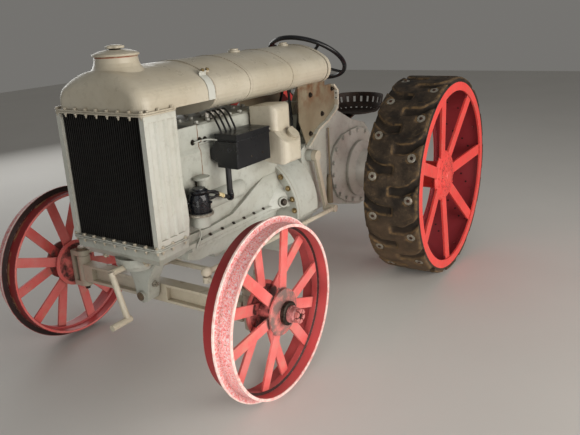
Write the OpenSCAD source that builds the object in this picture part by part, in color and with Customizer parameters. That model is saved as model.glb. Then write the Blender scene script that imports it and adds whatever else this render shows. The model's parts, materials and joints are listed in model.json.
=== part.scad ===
// Vintage farm tractor on steel wheels: a bare engine under a long fuel tank, a tall
// radiator in front, a pan seat behind, and rubber bands bolted round the rear rims.
// X points forward, Y to the driver's left and Z up. The ground is Z = 0 and the origin
// lies on it under the middle of the tractor. Sizes are in millimetres, and places along X
// are counted from the rear axle before the whole is shifted to the origin.

/* [Stance] */
// Distance between the front and rear axles
wheelbase = 1600; // [1560:5:1640]
// Gap left between two pieces that only rest on each other
seat_gap = 0.3; // [0.2:0.05:0.4]
// Radial clearance of a shaft that turns in its bore
run_gap = 0.06; // [0.03:0.01:0.09]

/* [Front wheels] */
// Radius of the front rim without its guide rib
front_rim_r = 355.6; // [345:0.2:365]
// Height of the guide rib round the front rim
guide_rib_h = 25.4; // [18:0.2:32]
// Width of the guide rib where it leaves the rim
guide_rib_w = 14; // [10:1:20]
// Width of the front rim
front_rim_w = 127; // [117:1:137]
// Thickness of the front rim
front_rim_t = 12; // [9:0.5:15]
// Outer face of a front rim, from the middle of the tractor
front_face_y = 678; // [672:1:700]
// Spokes on each side of a front hub
front_spokes = 6; // [5:1:7]
// Width of a front spoke
front_spoke_w = 46; // [38:1:54]
// Thickness of a front spoke
front_spoke_t = 10; // [8:0.5:13]
// Radius of the outer flange of a front hub
front_flange_r = 95; // [85:1:105]
// Radius of the dished inner flange of a front hub
front_dish_r = 114; // [104:1:124]
// Radius of a front hub's barrel
front_barrel_r = 46; // [42:1:52]
// Radius of a front wheel's cap nut
cap_nut_r = 31; // [26:1:36]
// How far the cap nut stands out of the rim's face
cap_nut_reach = 60; // [50:1:70]

/* [Rear wheels] */
// Radius of the rear rim's steel
rear_rim_r = 533.4; // [520:0.2:545]
// Width of the rear rim
rear_rim_w = 305; // [285:1:325]
// Thickness of the rear rim and of its turned-in edges
rear_rim_t = 11; // [9:0.5:14]
// How far the rim's edges turn in
rear_lip = 46; // [40:1:54]
// Thickness of the rubber band round the rear rim
band_t = 32; // [26:1:38]
// Outer face of a rear rim, from the middle of the tractor
rear_face_y = 812; // [800:1:830]
// Spokes on each side of a rear hub
rear_spokes = 7; // [6:1:8]
// Width of a rear spoke
rear_spoke_w = 64; // [54:1:72]
// Thickness of a rear spoke
rear_spoke_t = 12; // [10:0.5:15]
// Radius of a rear hub's flanges
rear_flange_r = 145; // [132:1:158]
// Radius of a rear hub's barrel
rear_barrel_r = 78; // [70:1:88]
// Distance of the outer hub flange behind the rim's face
rear_dish = 56; // [46:1:66]
// Radius of the rear axle shaft
axle_shaft_r = 32; // [28:1:36]

/* [Front axle and steering] */
// Kingpin axis, from the middle of the tractor
kingpin_y = 505; // [495:1:512]
// Radius of a kingpin
kingpin_r = 15; // [12:0.5:18]
// Radius of the axle beam's end bosses
boss_r = 31; // [27:1:34]
// Height of the axle beam's end bosses
boss_h = 130; // [116:1:140]
// Depth of the axle beam
beam_h = 88; // [76:1:96]
// Width of the axle beam's flanges
beam_w = 60; // [50:1:70]
// Height of the axle beam's middle above the ground
beam_z = 350; // [340:1:358]
// Radius of a front wheel's spindle
spindle_r = 20; // [17:0.5:24]
// Turning ball on the drag arm: distance inboard of the kingpin
drag_arm_in = 230; // [215:1:240]
// Tie rod arms: how far their balls lie behind the kingpins
tie_arm_back = 162; // [150:1:172]
// Tie rod arms: how far their balls lie inboard of the kingpins
tie_arm_in = 72; // [62:1:80]
// Radius of the balls of the steering linkage
ball_r = 15; // [12:0.5:18]
// Radius of the tie rod and the drag link
link_r = 12; // [9:0.5:14]
// Length of the drop arm between its shaft and its ball
drop_arm_l = 333; // [315:1:350]
// Lean of the drop arm, its ball behind its shaft
drop_arm_lean = 16.5; // [14:0.5:19]
// Diameter of the steering wheel
wheel_d = 470; // [440:2:490]
// Thickness of the steering wheel's rim
wheel_grip = 25; // [20:1:30]
// Tilt of the steering wheel, its front edge up
wheel_tilt = 34.8; // [32:0.2:37]

/* [Radiator] */
// Front face of the radiator, ahead of the front axle
rad_ahead = 224; // [215:1:232]
// Depth of the radiator from front to back
rad_depth = 177; // [165:1:185]
// Width of the radiator over its side panels
rad_w = 492; // [470:1:510]
// Thickness of the side panels
side_t = 24; // [18:1:30]
// Height of the radiator's lower flange above the ground
rad_low = 654; // [640:1:665]
// Height of the radiator's upper flange above the ground
rad_high = 1175; // [1160:1:1190]
// Thickness of the flanges
flange_t = 14; // [10:1:18]
// Distance between two fins of the radiator core
fin_pitch = 12; // [10:0.5:16]
// Thickness of a fin
fin_t = 3; // [2:0.25:4]
// Radius of the filler neck's lid
neck_r = 89; // [82:1:96]
// Height of the filler neck's lid above the upper tank
neck_h = 46; // [40:1:54]
// How far the upper tank's front is rounded back
dome_depth = 52; // [44:1:58]
// How far the upper tank's front edge is rounded down
dome_drop = 60; // [52:1:66]
// Radius of the small filler cap
cap_r = 39; // [34:1:44]

/* [Fuel tank] */
// Width of the fuel tank
tank_w = 480; // [460:2:496]
// Height of the fuel tank above its middle
tank_up = 127; // [118:1:134]
// Depth of the fuel tank below its middle
tank_down = 105; // [98:1:110]
// Radius of the fuel tank's rounded sides
tank_side_r = 75; // [65:1:85]
// Height of the tank's middle above the ground
tank_z = 1214; // [1208:1:1222]
// Front end of the fuel tank, ahead of the rear axle
tank_front = 1385; // [1370:1:1400]
// Rear end of the fuel tank, ahead of the rear axle
tank_rear = 426; // [420:1:440]

/* [Engine and drive line] */
// Front end of the engine block, behind the front axle
block_setback = 155; // [146:1:164]
// Rear end of the engine block, ahead of the rear axle
block_rear = 868; // [860:1:880]
// Width of the cylinder block
block_w = 340; // [326:2:352]
// Width of the crankcase and of the pan's flange
case_w = 410; // [396:2:420]
// Height of the joint between the crankcase and the pan
pan_z = 571; // [562:1:580]
// Height of the top of the cylinder head
head_z = 1080; // [1066:1:1090]
// Height of the steering arm's shaft and of the shoulders of the crankcase
shaft_z = 763; // [755:1:770]
// Height of the crankshaft and of the clutch housing's middle
clutch_z = 530; // [522:1:536]
// Radius of the flange between the engine and the clutch housing
bell_flange_r = 300; // [290:1:306]
// Radius of the clutch housing behind its flange
bell_r = 280; // [270:1:284]
// Width of the gear case behind the clutch housing
gear_w = 372; // [360:2:384]
// Width of the rear housing over its side plates
rear_w = 400; // [388:2:412]

/* [Seat and controls] */
// Middle of the seat, behind the rear axle
seat_back = 355; // [345:1:365]
// Radius of the seat pan across the tractor
seat_r = 186; // [176:1:196]
// Height of the front lip of the seat
seat_z = 872; // [862:1:885]
// Thickness of the pressed seat
seat_t = 5; // [4:0.5:7]

/* [Hitch] */
// Diameter of the hitch pin's hole
hitch_d = 26; // [22:1:30]
// Height of the drawbar's jaw above the ground
hitch_z = 345; // [330:1:360]

/* [Hidden] */
$fn = 64;

cream = "#d6cfb8";
engine_grey = "#c9cabb";
red = "#d9504a";
black = "#26262a";
rubber = "#38332e";
brown = "#4a3a30";
steel = "#8a8378";

front_hub_z = front_rim_r + guide_rib_h;
rear_hub_z = rear_rim_r + seat_gap + band_t;
x_front = wheelbase + front_hub_z;
x_mid = (x_front - rear_hub_z) / 2;
rad_front = wheelbase + rad_ahead;
rad_back = rad_front - rad_depth;
block_front = wheelbase - block_setback;
knuckle_gap = 0.5;
gear_top = shaft_z + 205;
gear_rear = 345;
bell_rear = block_rear - 228;
arm_t = 26;
arm_rod_r = 11;

// Everything below is placed from the rear axle and shifted here to the origin
module from_rear_axle() {
    translate([-x_mid, 0, 0]) children();
}

// A flat outline of [y, z] drawn along X between two places
module along_x(x0, x1) {
    translate([x0, 0, 0]) rotate([90, 0, 90]) linear_extrude(x1 - x0) children();
}

// A flat outline of [x, z] drawn along Y between two places
module along_y(y0, y1) {
    translate([0, y1, 0]) rotate([90, 0, 0]) linear_extrude(y1 - y0) children();
}

// A flat outline of [x, y] drawn along Z between two heights
module along_z(z0, z1) {
    translate([0, 0, z0]) linear_extrude(z1 - z0) children();
}

// Children drawn along Z, turned to run from one point towards another
module towards(p, q) {
    d = q - p;
    translate(p) rotate([0, acos(d[2] / norm(d)), atan2(d[1], d[0])]) children();
}

// A round rod between two points
module rod(p, q, r) {
    towards(p, q) cylinder(h = norm(q - p), r = r);
}

// Points on an arc between two angles, leaving out some at each end
function arc(c, r, a0, a1, n, skip = 0) = [
    for (i = [skip : n - skip]) let (a = a0 + (a1 - a0) * i / n) [c[0] + r * cos(a), c[1] + r * sin(a)]
];

// A square-edged block between two corners
module block(low, high) {
    translate(low) cube(high - low);
}

// A flat rectangle with round corners, its middle at the origin
module round_rect(w, h, r) {
    square([w - 2 * r, h], center = true);
    square([w, h - 2 * r], center = true);
    for (sx = [-1, 1], sy = [-1, 1]) translate([sx * (w / 2 - r), sy * (h / 2 - r)]) circle(r);
}

// Both sides of the tractor
module both_sides() {
    children();
    mirror([0, 1, 0]) children();
}

// Wheels

// A flat bar of the given width and thickness from [r0, z0] to [r1, z1] in the plane of an angle
module spoke(a, r0, z0, r1, z1, w, t) {
    rotate([0, 0, a]) translate([r0, 0, z0]) rotate([0, -atan2(z1 - z0, r1 - r0), 0])
        translate([0, -w / 2, -t / 2]) cube([norm([r1 - r0, z1 - z0]), w, t]);
}

front_flange_z = -12;
front_dish_z = -front_rim_w + 14;
front_hub_in = -front_rim_w + 10;
web_out_y = kingpin_y + boss_r + 24;

// A front wheel about Z, its rim's outer face at Z = 0 and its hub's inner end towards -Z
module front_wheel_shape() {
    mid = -front_rim_w / 2;
    rib = guide_rib_w / 2;
    in_r = front_rim_r - front_rim_t;
    difference() {
        union() {
            rotate_extrude($fn = 96) polygon([
                [in_r, -front_rim_w], [front_rim_r, -front_rim_w], [front_rim_r, mid - rib],
                [front_rim_r + guide_rib_h, mid - rib * 0.6], [front_rim_r + guide_rib_h, mid + rib * 0.6],
                [front_rim_r, mid + rib], [front_rim_r, 0], [in_r, 0],
                [in_r, mid + 18], [in_r - 10, mid + 14], [in_r - 10, mid - 14], [in_r, mid - 18]
            ]);
            for (i = [0 : front_spokes - 1]) {
                spoke(i * 360 / front_spokes + 12, front_barrel_r, front_flange_z - 12, in_r - 2, mid + 8,
                      front_spoke_w, front_spoke_t);
                spoke((i + 0.5) * 360 / front_spokes + 12, front_barrel_r, front_dish_z + 12, in_r - 2, mid - 8,
                      front_spoke_w, front_spoke_t);
            }
            rotate_extrude() polygon([
                [0, front_hub_in], [front_barrel_r, front_hub_in], [front_dish_r, front_dish_z],
                [front_dish_r, front_dish_z + 8], [front_barrel_r, front_dish_z + 14],
                [front_barrel_r, front_flange_z - 10], [front_flange_r, front_flange_z - 4],
                [front_flange_r, front_flange_z + 4], [front_barrel_r, front_flange_z + 10],
                [front_barrel_r - 6, 20], [cap_nut_r + 4, 20], [cap_nut_r + 4, 34],
                [cap_nut_r, 34], [cap_nut_r, cap_nut_reach - 8], [cap_nut_r - 8, cap_nut_reach],
                [0, cap_nut_reach]
            ]);
        }
        translate([0, 0, front_hub_in - 1]) cylinder(h = 1 - front_hub_in + 12, r = spindle_r + run_gap);
    }
}

module place_front_wheel() {
    translate([wheelbase, front_face_y, front_hub_z]) rotate([-90, 0, 0]) children();
}

module front_wheel_left() {
    color(red) from_rear_axle() place_front_wheel() front_wheel_shape();
}

module front_wheel_right() {
    color(red) from_rear_axle() mirror([0, 1, 0]) place_front_wheel() front_wheel_shape();
}

rear_in_r = rear_rim_r - rear_rim_t;
rear_hub_in = -rear_rim_w + 62;

// A rear wheel about Z, its rim's outer face at Z = 0, with its end of the axle shaft
module rear_wheel_shape() {
    rotate_extrude($fn = 128) polygon([
        [rear_rim_r - rear_lip, -rear_rim_w], [rear_rim_r, -rear_rim_w], [rear_rim_r, 0],
        [rear_rim_r - rear_lip, 0], [rear_rim_r - rear_lip, -rear_rim_t], [rear_in_r, -rear_rim_t],
        [rear_in_r, -rear_rim_w + rear_rim_t], [rear_rim_r - rear_lip, -rear_rim_w + rear_rim_t]
    ]);
    for (i = [0 : rear_spokes - 1]) {
        spoke(i * 360 / rear_spokes + 33, rear_barrel_r, -rear_dish - 8, rear_in_r - 6, -rear_rim_t,
              rear_spoke_w, rear_spoke_t);
        spoke((i + 0.5) * 360 / rear_spokes + 33, rear_barrel_r, rear_hub_in + 12, rear_in_r - 6,
              -rear_rim_w + rear_rim_t, rear_spoke_w, rear_spoke_t);
    }
    rotate_extrude() polygon([
        [0, rear_hub_in - 130], [axle_shaft_r, rear_hub_in - 130], [axle_shaft_r, rear_hub_in],
        [rear_barrel_r, rear_hub_in], [rear_flange_r, rear_hub_in + 6], [rear_flange_r, rear_hub_in + 20],
        [rear_barrel_r, rear_hub_in + 26], [rear_barrel_r, -rear_dish - 16], [rear_flange_r, -rear_dish - 10],
        [rear_flange_r, -rear_dish - 4], [rear_flange_r - 14, -rear_dish + 6], [rear_barrel_r + 20, -rear_dish + 16],
        [rear_barrel_r - 24, -rear_dish + 23], [axle_shaft_r + 6, -rear_dish + 25], [axle_shaft_r + 2, -rear_dish + 30],
        [0, -rear_dish + 30]
    ]);
}

module place_rear_wheel() {
    translate([0, rear_face_y, rear_hub_z]) rotate([-90, 0, 0]) children();
}

module rear_wheel_left() {
    color(red) from_rear_axle() place_rear_wheel() rear_wheel_shape();
}

module rear_wheel_right() {
    color(red) from_rear_axle() mirror([0, 1, 0]) place_rear_wheel() rear_wheel_shape();
}

// The rubber band round a rear rim, its edges bevelled
module rubber_band_shape() {
    r0 = rear_rim_r + seat_gap;
    r1 = r0 + band_t;
    rotate_extrude($fn = 128) polygon([
        [r0, -rear_rim_w], [r1 - 8, -rear_rim_w], [r1, -rear_rim_w + 10], [r1, -10], [r1 - 8, 0], [r0, 0]
    ]);
}

module rubber_band_left() {
    color(rubber) from_rear_axle() place_rear_wheel() rubber_band_shape();
}

module rubber_band_right() {
    color(rubber) from_rear_axle() mirror([0, 1, 0]) place_rear_wheel() rubber_band_shape();
}

// Front axle and steering

boss_low = front_hub_z - boss_h / 2 - 16;
boss_high = boss_low + boss_h;
beam_end_y = kingpin_y - boss_r + 6;
pivot_z = 362;
pivot_x = wheelbase + 72;

// An I-shaped section of [x, z]
module beam_section() {
    flange = 13;
    web = 12;
    for (s = [-1, 1]) translate([0, s * (beam_h - flange) / 2]) square([beam_w, flange], center = true);
    square([web, beam_h], center = true);
}

module front_axle() {
    color(cream) from_rear_axle() difference() {
        union() {
            translate([wheelbase, 0, beam_z]) along_y(-beam_end_y, beam_end_y) beam_section();
            translate([wheelbase, 0, beam_z]) cube([beam_w, 130, beam_h], center = true);
            both_sides() {
                translate([wheelbase, kingpin_y, boss_low]) cylinder(h = boss_h, r = boss_r);
                block([wheelbase - beam_w / 2, beam_end_y - 60, beam_z - beam_h / 2],
                      [wheelbase + beam_w / 2, beam_end_y, beam_z + beam_h / 2]);
            }
        }
        both_sides() translate([wheelbase, kingpin_y, boss_low - 1]) cylinder(h = boss_h + 2, r = kingpin_r + run_gap);
        rod([wheelbase - beam_w, 0, pivot_z], [wheelbase + beam_w, 0, pivot_z], 22 + seat_gap);
    }
}

// A steering knuckle at the left: a fork round the axle's boss, its kingpin and its spindle
module knuckle_shape() {
    low = boss_low - knuckle_gap;
    high = boss_high + knuckle_gap;
    translate([wheelbase, kingpin_y, low - arm_t]) cylinder(h = high - low + 2 * arm_t + 14, r = kingpin_r);
    for (z = [low - arm_t, high]) translate([wheelbase, kingpin_y, z]) {
        cylinder(h = arm_t, r = boss_r - 2);
        block([-boss_r + 2, 0, 0], [boss_r - 2, web_out_y - kingpin_y, arm_t]);
    }
    translate([wheelbase, kingpin_y, high + arm_t]) {
        cylinder(h = 10, r = boss_r - 6);
        translate([0, 0, 10]) cylinder(h = 12, r1 = boss_r - 6, r2 = boss_r - 12);
    }
    block([wheelbase - boss_r + 2, web_out_y - 18, low - arm_t], [wheelbase + boss_r - 2, web_out_y, high + arm_t]);
    rod([wheelbase, web_out_y - 2, front_hub_z], [wheelbase, front_face_y - 8, front_hub_z], spindle_r);
}

arm_top_z = boss_high + knuckle_gap + arm_t;
arm_z = arm_top_z - arm_t / 2;
stud_l = 20;

// An arm from the top of a left knuckle to a ball above it, side = 1, or below it, side = -1
module ball_arm(back, in, side) {
    end = [wheelbase - back, kingpin_y - in, arm_z];
    rod([wheelbase, kingpin_y, arm_z], end, arm_rod_r);
    translate(end - [0, 0, arm_t / 2]) cylinder(h = arm_t, r = 19);
    rod(end, end + [0, 0, side * (arm_t / 2 + stud_l)], 8);
    translate(end + [0, 0, side * (arm_t / 2 + stud_l)]) sphere(r = ball_r);
}

drag_arm_back = 10;
drag_ball = [wheelbase - drag_arm_back, kingpin_y - drag_arm_in, arm_top_z + stud_l];
tie_ball = [wheelbase - tie_arm_back, kingpin_y - tie_arm_in, arm_top_z - arm_t - stud_l];

module knuckle_left() {
    color(cream) from_rear_axle() {
        knuckle_shape();
        ball_arm(tie_arm_back, tie_arm_in, -1);
        ball_arm(drag_arm_back, drag_arm_in, 1);
    }
}

module knuckle_right() {
    color(cream) from_rear_axle() mirror([0, 1, 0]) {
        knuckle_shape();
        ball_arm(tie_arm_back, tie_arm_in, -1);
    }
}

socket_r = ball_r + 9;

// A socket round a ball, open for the ball's stud above, side = 1, or below, side = -1
module ball_socket(side) {
    difference() {
        sphere(r = socket_r);
        sphere(r = ball_r + seat_gap);
        translate([0, 0, side * (socket_r + 10)]) cube([3 * socket_r, 3 * socket_r, 2 * socket_r], center = true);
    }
}

eye_drop = 2 * ball_r + 6;

// The right end's eye hangs under the right arm's ball with a gap, so that it may drift
module tie_rod() {
    knee = [tie_ball[0], 60 - tie_ball[1], tie_ball[2]];
    eye = [tie_ball[0], -tie_ball[1], tie_ball[2] - eye_drop];
    color(cream) from_rear_axle() {
        translate(tie_ball) ball_socket(1);
        rod(tie_ball - [0, socket_r - 3, 0], knee, link_r);
        rod(knee + [0, 0, link_r + 2], [knee[0], knee[1], eye[2] - 12], link_r + 4);
        rod([knee[0], knee[1], eye[2]], eye, link_r - 3);
        translate(eye - [0, 0, 11]) cylinder(h = 22, r = 20);
    }
}

drop_pivot = [577, gear_w / 2 + 49, shaft_z + 4];
drop_shaft_r = 17;
drop_shaft_l = 60;
drop_ball = drop_pivot + drop_arm_l * [-sin(drop_arm_lean), 0, -cos(drop_arm_lean)];
eye_half = 14;
link_y = drop_pivot[1] + 50;

// The drag link: a socket on the knuckle's ball in front, an eye beside the drop arm's pin behind
module drag_link() {
    rear = [drop_ball[0], link_y, drop_ball[2]];
    way = (rear - drag_ball) / norm(rear - drag_ball);
    color(cream) from_rear_axle() {
        translate(drag_ball) ball_socket(-1);
        rod(drag_ball + way * (socket_r - 3), rear, link_r);
        rod(rear - [0, eye_half, 0], rear + [0, eye_half, 0], 21);
    }
}

module drop_arm() {
    color(cream) from_rear_axle() {
        rod(drop_pivot - [0, 12, 0], drop_pivot + [0, 16, 0], 30);
        rod(drop_pivot - [0, drop_shaft_l, 0], drop_pivot, drop_shaft_r);
        translate(drop_pivot) rotate([0, drop_arm_lean, 0]) block([-15, -8, -drop_arm_l], [15, 8, 0]);
        rod(drop_ball - [0, 11, 0], [drop_ball[0], link_y - eye_half - 1, drop_ball[2]], 20);
    }
}

wheel_mid = [235, 0, 1252];
wheel_ax = [-sin(wheel_tilt), 0, cos(wheel_tilt)];
column_r = 19;
column_low = wheel_mid - 330 * wheel_ax;
column_high = wheel_mid - 46 * wheel_ax;

// The steering wheel about its own axis
module steering_wheel() {
    rim_r = (wheel_d - wheel_grip) / 2;
    color(black) from_rear_axle() translate(wheel_mid) rotate([0, -wheel_tilt, 0]) {
        rotate_extrude($fn = 96) translate([rim_r, 0]) circle(wheel_grip / 2, $fn = 32);
        for (i = [0 : 3]) spoke(45 + i * 90, 20, -26, rim_r, 0, 17, 9);
        translate([0, 0, -42]) cylinder(h = 34, r = 27);
        translate([0, 0, -8]) cylinder(h = 10, r = 15);
        translate([0, 0, -110]) cylinder(h = 72, r = 11);
    }
}

module steering_column() {
    color(cream) from_rear_axle() difference() {
        union() {
            rod(column_low, column_high, column_r);
            along_y(-48, 48) polygon([
                [346, gear_top + seat_gap], [500, gear_top + seat_gap], [500, gear_top + 24],
                [452, gear_top + 62], [396, gear_top + 62], [346, gear_top + 24]
            ]);
        }
        rod(column_high + wheel_ax, column_high - 68 * wheel_ax, 11 + run_gap);
        block([300, -100, gear_top - 200], [560, 100, gear_top + seat_gap]);
    }
}

// Radiator

half_w = rad_w / 2;
hood_wall = 6;
hood_rear = tank_front + 4 + seat_gap;
neck_x = rad_front - dome_depth - neck_r + 7;

// Half of the tank's outline: two rounded sides joined by one wide arch of height h, grown by g
// and its sides drawn in
function arch(h, g, in = 0) = let (
    side = tank_side_r + g,
    reach = tank_w / 2 - tank_side_r - in,
    wide = (reach * reach - side * side + pow(h + g, 2)) / (2 * (h + g - side)),
    turn = atan2(wide - h - g, reach)
) concat(
    arc([reach, 0], side, 0, turn, 5),
    arc([0, h + g - wide], wide, turn, 180 - turn, 22, 1),
    arc([-reach, 0], side, 180 - turn, 180, 5)
);

// The tank's outline of [y, z] about its own middle, grown by g
module tank_section(g = 0) {
    lower = arch(tank_down, g);
    polygon(concat(arch(tank_up, g), [for (i = [len(lower) - 2 : -1 : 1]) [lower[i][0], -lower[i][1]]]));
}

// The upper tank's front outline: upright sides under the tank's own arch
module hood_section(g = 0) {
    side = tank_w / 2 + g;
    polygon(concat([for (p = arch(tank_up, g)) p + [0, tank_z]], [[-side, rad_high], [side, rad_high]]));
}

lid_z = tank_z + tank_up + neck_h;

// Two plates bolted face to face round the radiator, a groove between them
module radiator_flange(z) {
    for (plate = [[0, 0.44, 6], [0.43, 0.57, 2], [0.56, 1, 4]])
        along_z(z + plate[0] * flange_t, z + plate[1] * flange_t)
            translate([(rad_front + rad_back) / 2 + 2, 0])
                round_rect(rad_depth + 8 + plate[2], rad_w + 4 + plate[2], 24);
}

// The front of the upper tank: its outline shrinks along a quarter of an ellipse as it reaches forward
module tank_dome() {
    hull() {
        along_x(rad_back, rad_back + 1) hood_section(0.4);
        for (a = [0 : 10 : 90]) let (x = rad_front - dome_depth * (1 - sin(a)))
            along_x(x - 0.2, x) domed_section(dome_depth * (1 - cos(a)), dome_drop * (1 - cos(a)));
    }
}

// The upper tank's outline, its sides drawn in and its top lowered
module domed_section(in, down) {
    side = tank_w / 2 + 0.4 - in;
    polygon(concat([for (p = arch(tank_up - down + in / 2, 0.4 - in / 2, in / 2)) p + [0, tank_z]],
                   [[-side, rad_high + 5], [side, rad_high + 5]]));
}

module radiator_top_tank() {
    color(cream) from_rear_axle() {
        radiator_flange(rad_high);
        tank_dome();
        difference() {
            along_x(hood_rear, rad_back + 4) hood_section();
            along_x(hood_rear - 1, rad_back - 10) hood_section(-hood_wall);
            block([hood_rear - 1, -300, rad_high - 1], [rad_back - 10, 300, rad_high + 8]);
        }
        translate([neck_x, 0, lid_z]) rotate_extrude() polygon([
            [0, -neck_h - 24], [neck_r + 28, -neck_h - 24], [neck_r + 15, -neck_h - 9], [neck_r + 5, -neck_h + 5],
            [neck_r - 1, -neck_h + 20], [neck_r - 4, -2], [neck_r + 2, 0], [neck_r + 4, 3], [neck_r + 3, 8],
            [neck_r - 7, 13], [neck_r - 27, 19], [cap_r + 4, 23], [0, 24]
        ]);
    }
}

module radiator_cap() {
    color(cream) from_rear_axle() translate([neck_x, 0, lid_z + 24 + seat_gap]) {
        cylinder(h = 5, r = cap_r / 2);
        translate([0, 0, 4]) cylinder(h = 10, r = cap_r);
        translate([0, 0, 14]) cylinder(h = 4, r1 = cap_r, r2 = cap_r - 6);
    }
}

core_half = half_w - side_t - seat_gap;

// The core: a black block behind a row of upright fins
module radiator_core() {
    fins = floor((2 * core_half - fin_t) / fin_pitch);
    start = -fins * fin_pitch / 2;
    color(black) from_rear_axle() {
        block([rad_back + 14, -core_half, rad_low + seat_gap], [rad_front - 46, core_half, rad_high - seat_gap]);
        for (i = [0 : fins]) {
            y = start + i * fin_pitch;
            block([rad_front - 47, y - fin_t / 2, rad_low + seat_gap], [rad_front - 12, y + fin_t / 2, rad_high - seat_gap]);
        }
    }
}

// A side panel: upright ribs pressed into the sheet, its rear edge bulging low down
module side_panel() {
    mid = half_w - side_t;
    difference() {
        along_y(mid, half_w) polygon([
            [rad_front, rad_low + seat_gap], [rad_front, rad_high - seat_gap], [rad_back, rad_high - seat_gap],
            [rad_back, rad_low + 220], [rad_back - 12, rad_low + 150], [rad_back - 16, rad_low + 70],
            [rad_back - 6, rad_low + seat_gap]
        ]);
        for (x = [rad_back + 34, rad_back + 84, rad_back + 134])
            along_z(rad_low + 26, rad_high - 26) translate([x, half_w]) polygon([
                [-20, 1], [-20, 0], [-12, -7], [12, -7], [20, 0], [20, 1]
            ]);
    }
}

module radiator_side_left() {
    color(cream) from_rear_axle() side_panel();
}

module radiator_side_right() {
    color(cream) from_rear_axle() mirror([0, 1, 0]) side_panel();
}

crank_r = 14;

// The lower tank: a flange, a tapering bowl, the neck back to the engine and the axle's bracket
module radiator_bottom_tank() {
    color(cream) from_rear_axle() difference() {
        union() {
            radiator_flange(rad_low - flange_t);
            intersection() {
                along_x(rad_back - 10, rad_front - 6) polygon([
                    [-half_w + 8, rad_low - flange_t], [half_w - 8, rad_low - flange_t], [half_w - 10, rad_low - 52],
                    [half_w - 44, rad_low - 92], [-half_w + 44, rad_low - 92], [-half_w + 10, rad_low - 52]
                ]);
                along_y(-half_w, half_w) polygon([
                    [rad_back - 10, rad_low], [rad_front - 6, rad_low], [rad_front - 8, rad_low - 56],
                    [rad_front - 40, rad_low - 92], [rad_back - 10, rad_low - 92]
                ]);
            }
            translate([rad_front - 109, 0, rad_low - 92]) rotate_extrude() polygon([
                [0, 1], [92, 1], [90, -34], [70, -58], [30, -68], [0, -70]
            ]);
            intersection() {
                along_x(block_front + seat_gap, rad_back - 9) block_outline(head_z);
                along_y(-half_w, half_w) polygon([
                    [block_front, pan_z + 2], [rad_back - 9, pan_z - 4], [rad_back - 9, rad_low + 40],
                    [rad_back - 30, rad_low + 200], [rad_back - 30, head_z], [block_front, head_z]
                ]);
            }
            intersection() {
                along_x(block_front + seat_gap, rad_back - 9) case_low_outline();
                along_y(-half_w, half_w) polygon([
                    [block_front, pan_z - 1], [rad_back - 9, pan_z - 4], [rad_back - 9, shaft_z - 130],
                    [block_front, shaft_z - 138]
                ]);
            }
            along_x(wheelbase + beam_w / 2 + 10, rad_back + 66) polygon([
                [-150, rad_low - 90], [150, rad_low - 90], [96, 520], [44, 430], [34, pivot_z],
                [24, pivot_z - 26], [0, pivot_z - 36], [-24, pivot_z - 26], [-34, pivot_z], [-44, 430], [-96, 520]
            ]);
            rod([wheelbase - beam_w / 2 - 14, 0, pivot_z], [rad_back + 78, 0, pivot_z], 22);
            translate([timer_at[0], timer_at[1], shaft_z - 90]) cylinder(h = timer_low - shaft_z + 90, r = 38);
            block([timer_at[0] - 30, block_w / 2, shaft_z - 88], [timer_at[0] + 30, timer_at[1], shaft_z - 40]);
            rod([block_front + seat_gap, block_w / 2 - 4, shaft_z - 24],
                [timer_at[0] - 62, block_w / 2 - 4, shaft_z - 24], bulge_r);
            translate([breather_x, block_w / 2 + 34, shaft_z - 24]) {
                cylinder(h = 116, r = 20);
                translate([0, 0, 116]) cylinder(h = 12, r = 38);
            }
        }
        rod([1700, 0, clutch_z - 4], [rad_front + 20, 0, clutch_z - 4], crank_r + seat_gap);
        block([block_front + 20, -block_w / 2 + 8, 790], [rad_back + 10, block_w / 2 - 8, head_z + 1]);
    }
}

// Fuel tank

module fuel_tank() {
    color(cream) from_rear_axle() {
        translate([0, 0, tank_z]) {
            along_x(tank_rear, tank_front) tank_section();
            for (x = [0.355, 0.732]) let (seam = tank_rear + x * (tank_front - tank_rear))
                along_x(seam - 7, seam + 7) tank_section(2.5);
            along_x(tank_front - 10, tank_front + 4) tank_section(3);
        }
        for (x = [tank_rear + 501, tank_rear + 61]) translate([x, 0, tank_z + tank_up - 4]) {
            cylinder(h = 12, r = 30);
            translate([0, 0, 11]) cylinder(h = 9, r = 22);
        }
    }
}

module tank_rear_band() {
    color(cream) from_rear_axle() translate([0, 0, tank_z]) difference() {
        along_x(tank_rear - 36, tank_rear - 8) tank_section(2);
        along_x(tank_rear - 37, tank_rear - 14) tank_section(-12);
        translate([tank_rear - 60, -60, -tank_down - 40]) cube([80, 120, 60]);
    }
}

// Engine

pad = 10;
head_low = head_z - 90;
pan_low = pan_z - 147;

// The block seen from the front, down to the pan and up to a height
module block_outline(top) {
    b = block_w / 2;
    polygon([
        [-b - pad, pan_z + 20], [b + pad, pan_z + 20], [b + pad, head_low - 24], [b, head_low - 4], [b, top],
        [-b, top], [-b, head_low - 4], [-b - pad, head_low - 24]
    ]);
}

// The crankcase seen from the front: a flange for the pan, full sides and sloping shoulders
module case_low_outline() {
    c = case_w / 2;
    half = concat(
        [[c, pan_z + seat_gap], [c, pan_z + 18], [c - 12, pan_z + 24]],
        [[c - 7, 640], [c - 4, 680], [c - 8, 716], [c - 22, 742], [block_w / 2 - 10, 760]]
    );
    polygon(concat(half, [for (i = [len(half) - 1 : -1 : 0]) [-half[i][0], half[i][1]]]));
}

// The shoulders of the crankcase come down towards the front
module case_side_outline(front) {
    polygon([
        [block_rear, pan_z - 10], [front, pan_z - 10], [front, shaft_z - 138], [front - 160, shaft_z - 125],
        [front - 340, shaft_z - 48], [block_rear, shaft_z + 20]
    ]);
}

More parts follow.
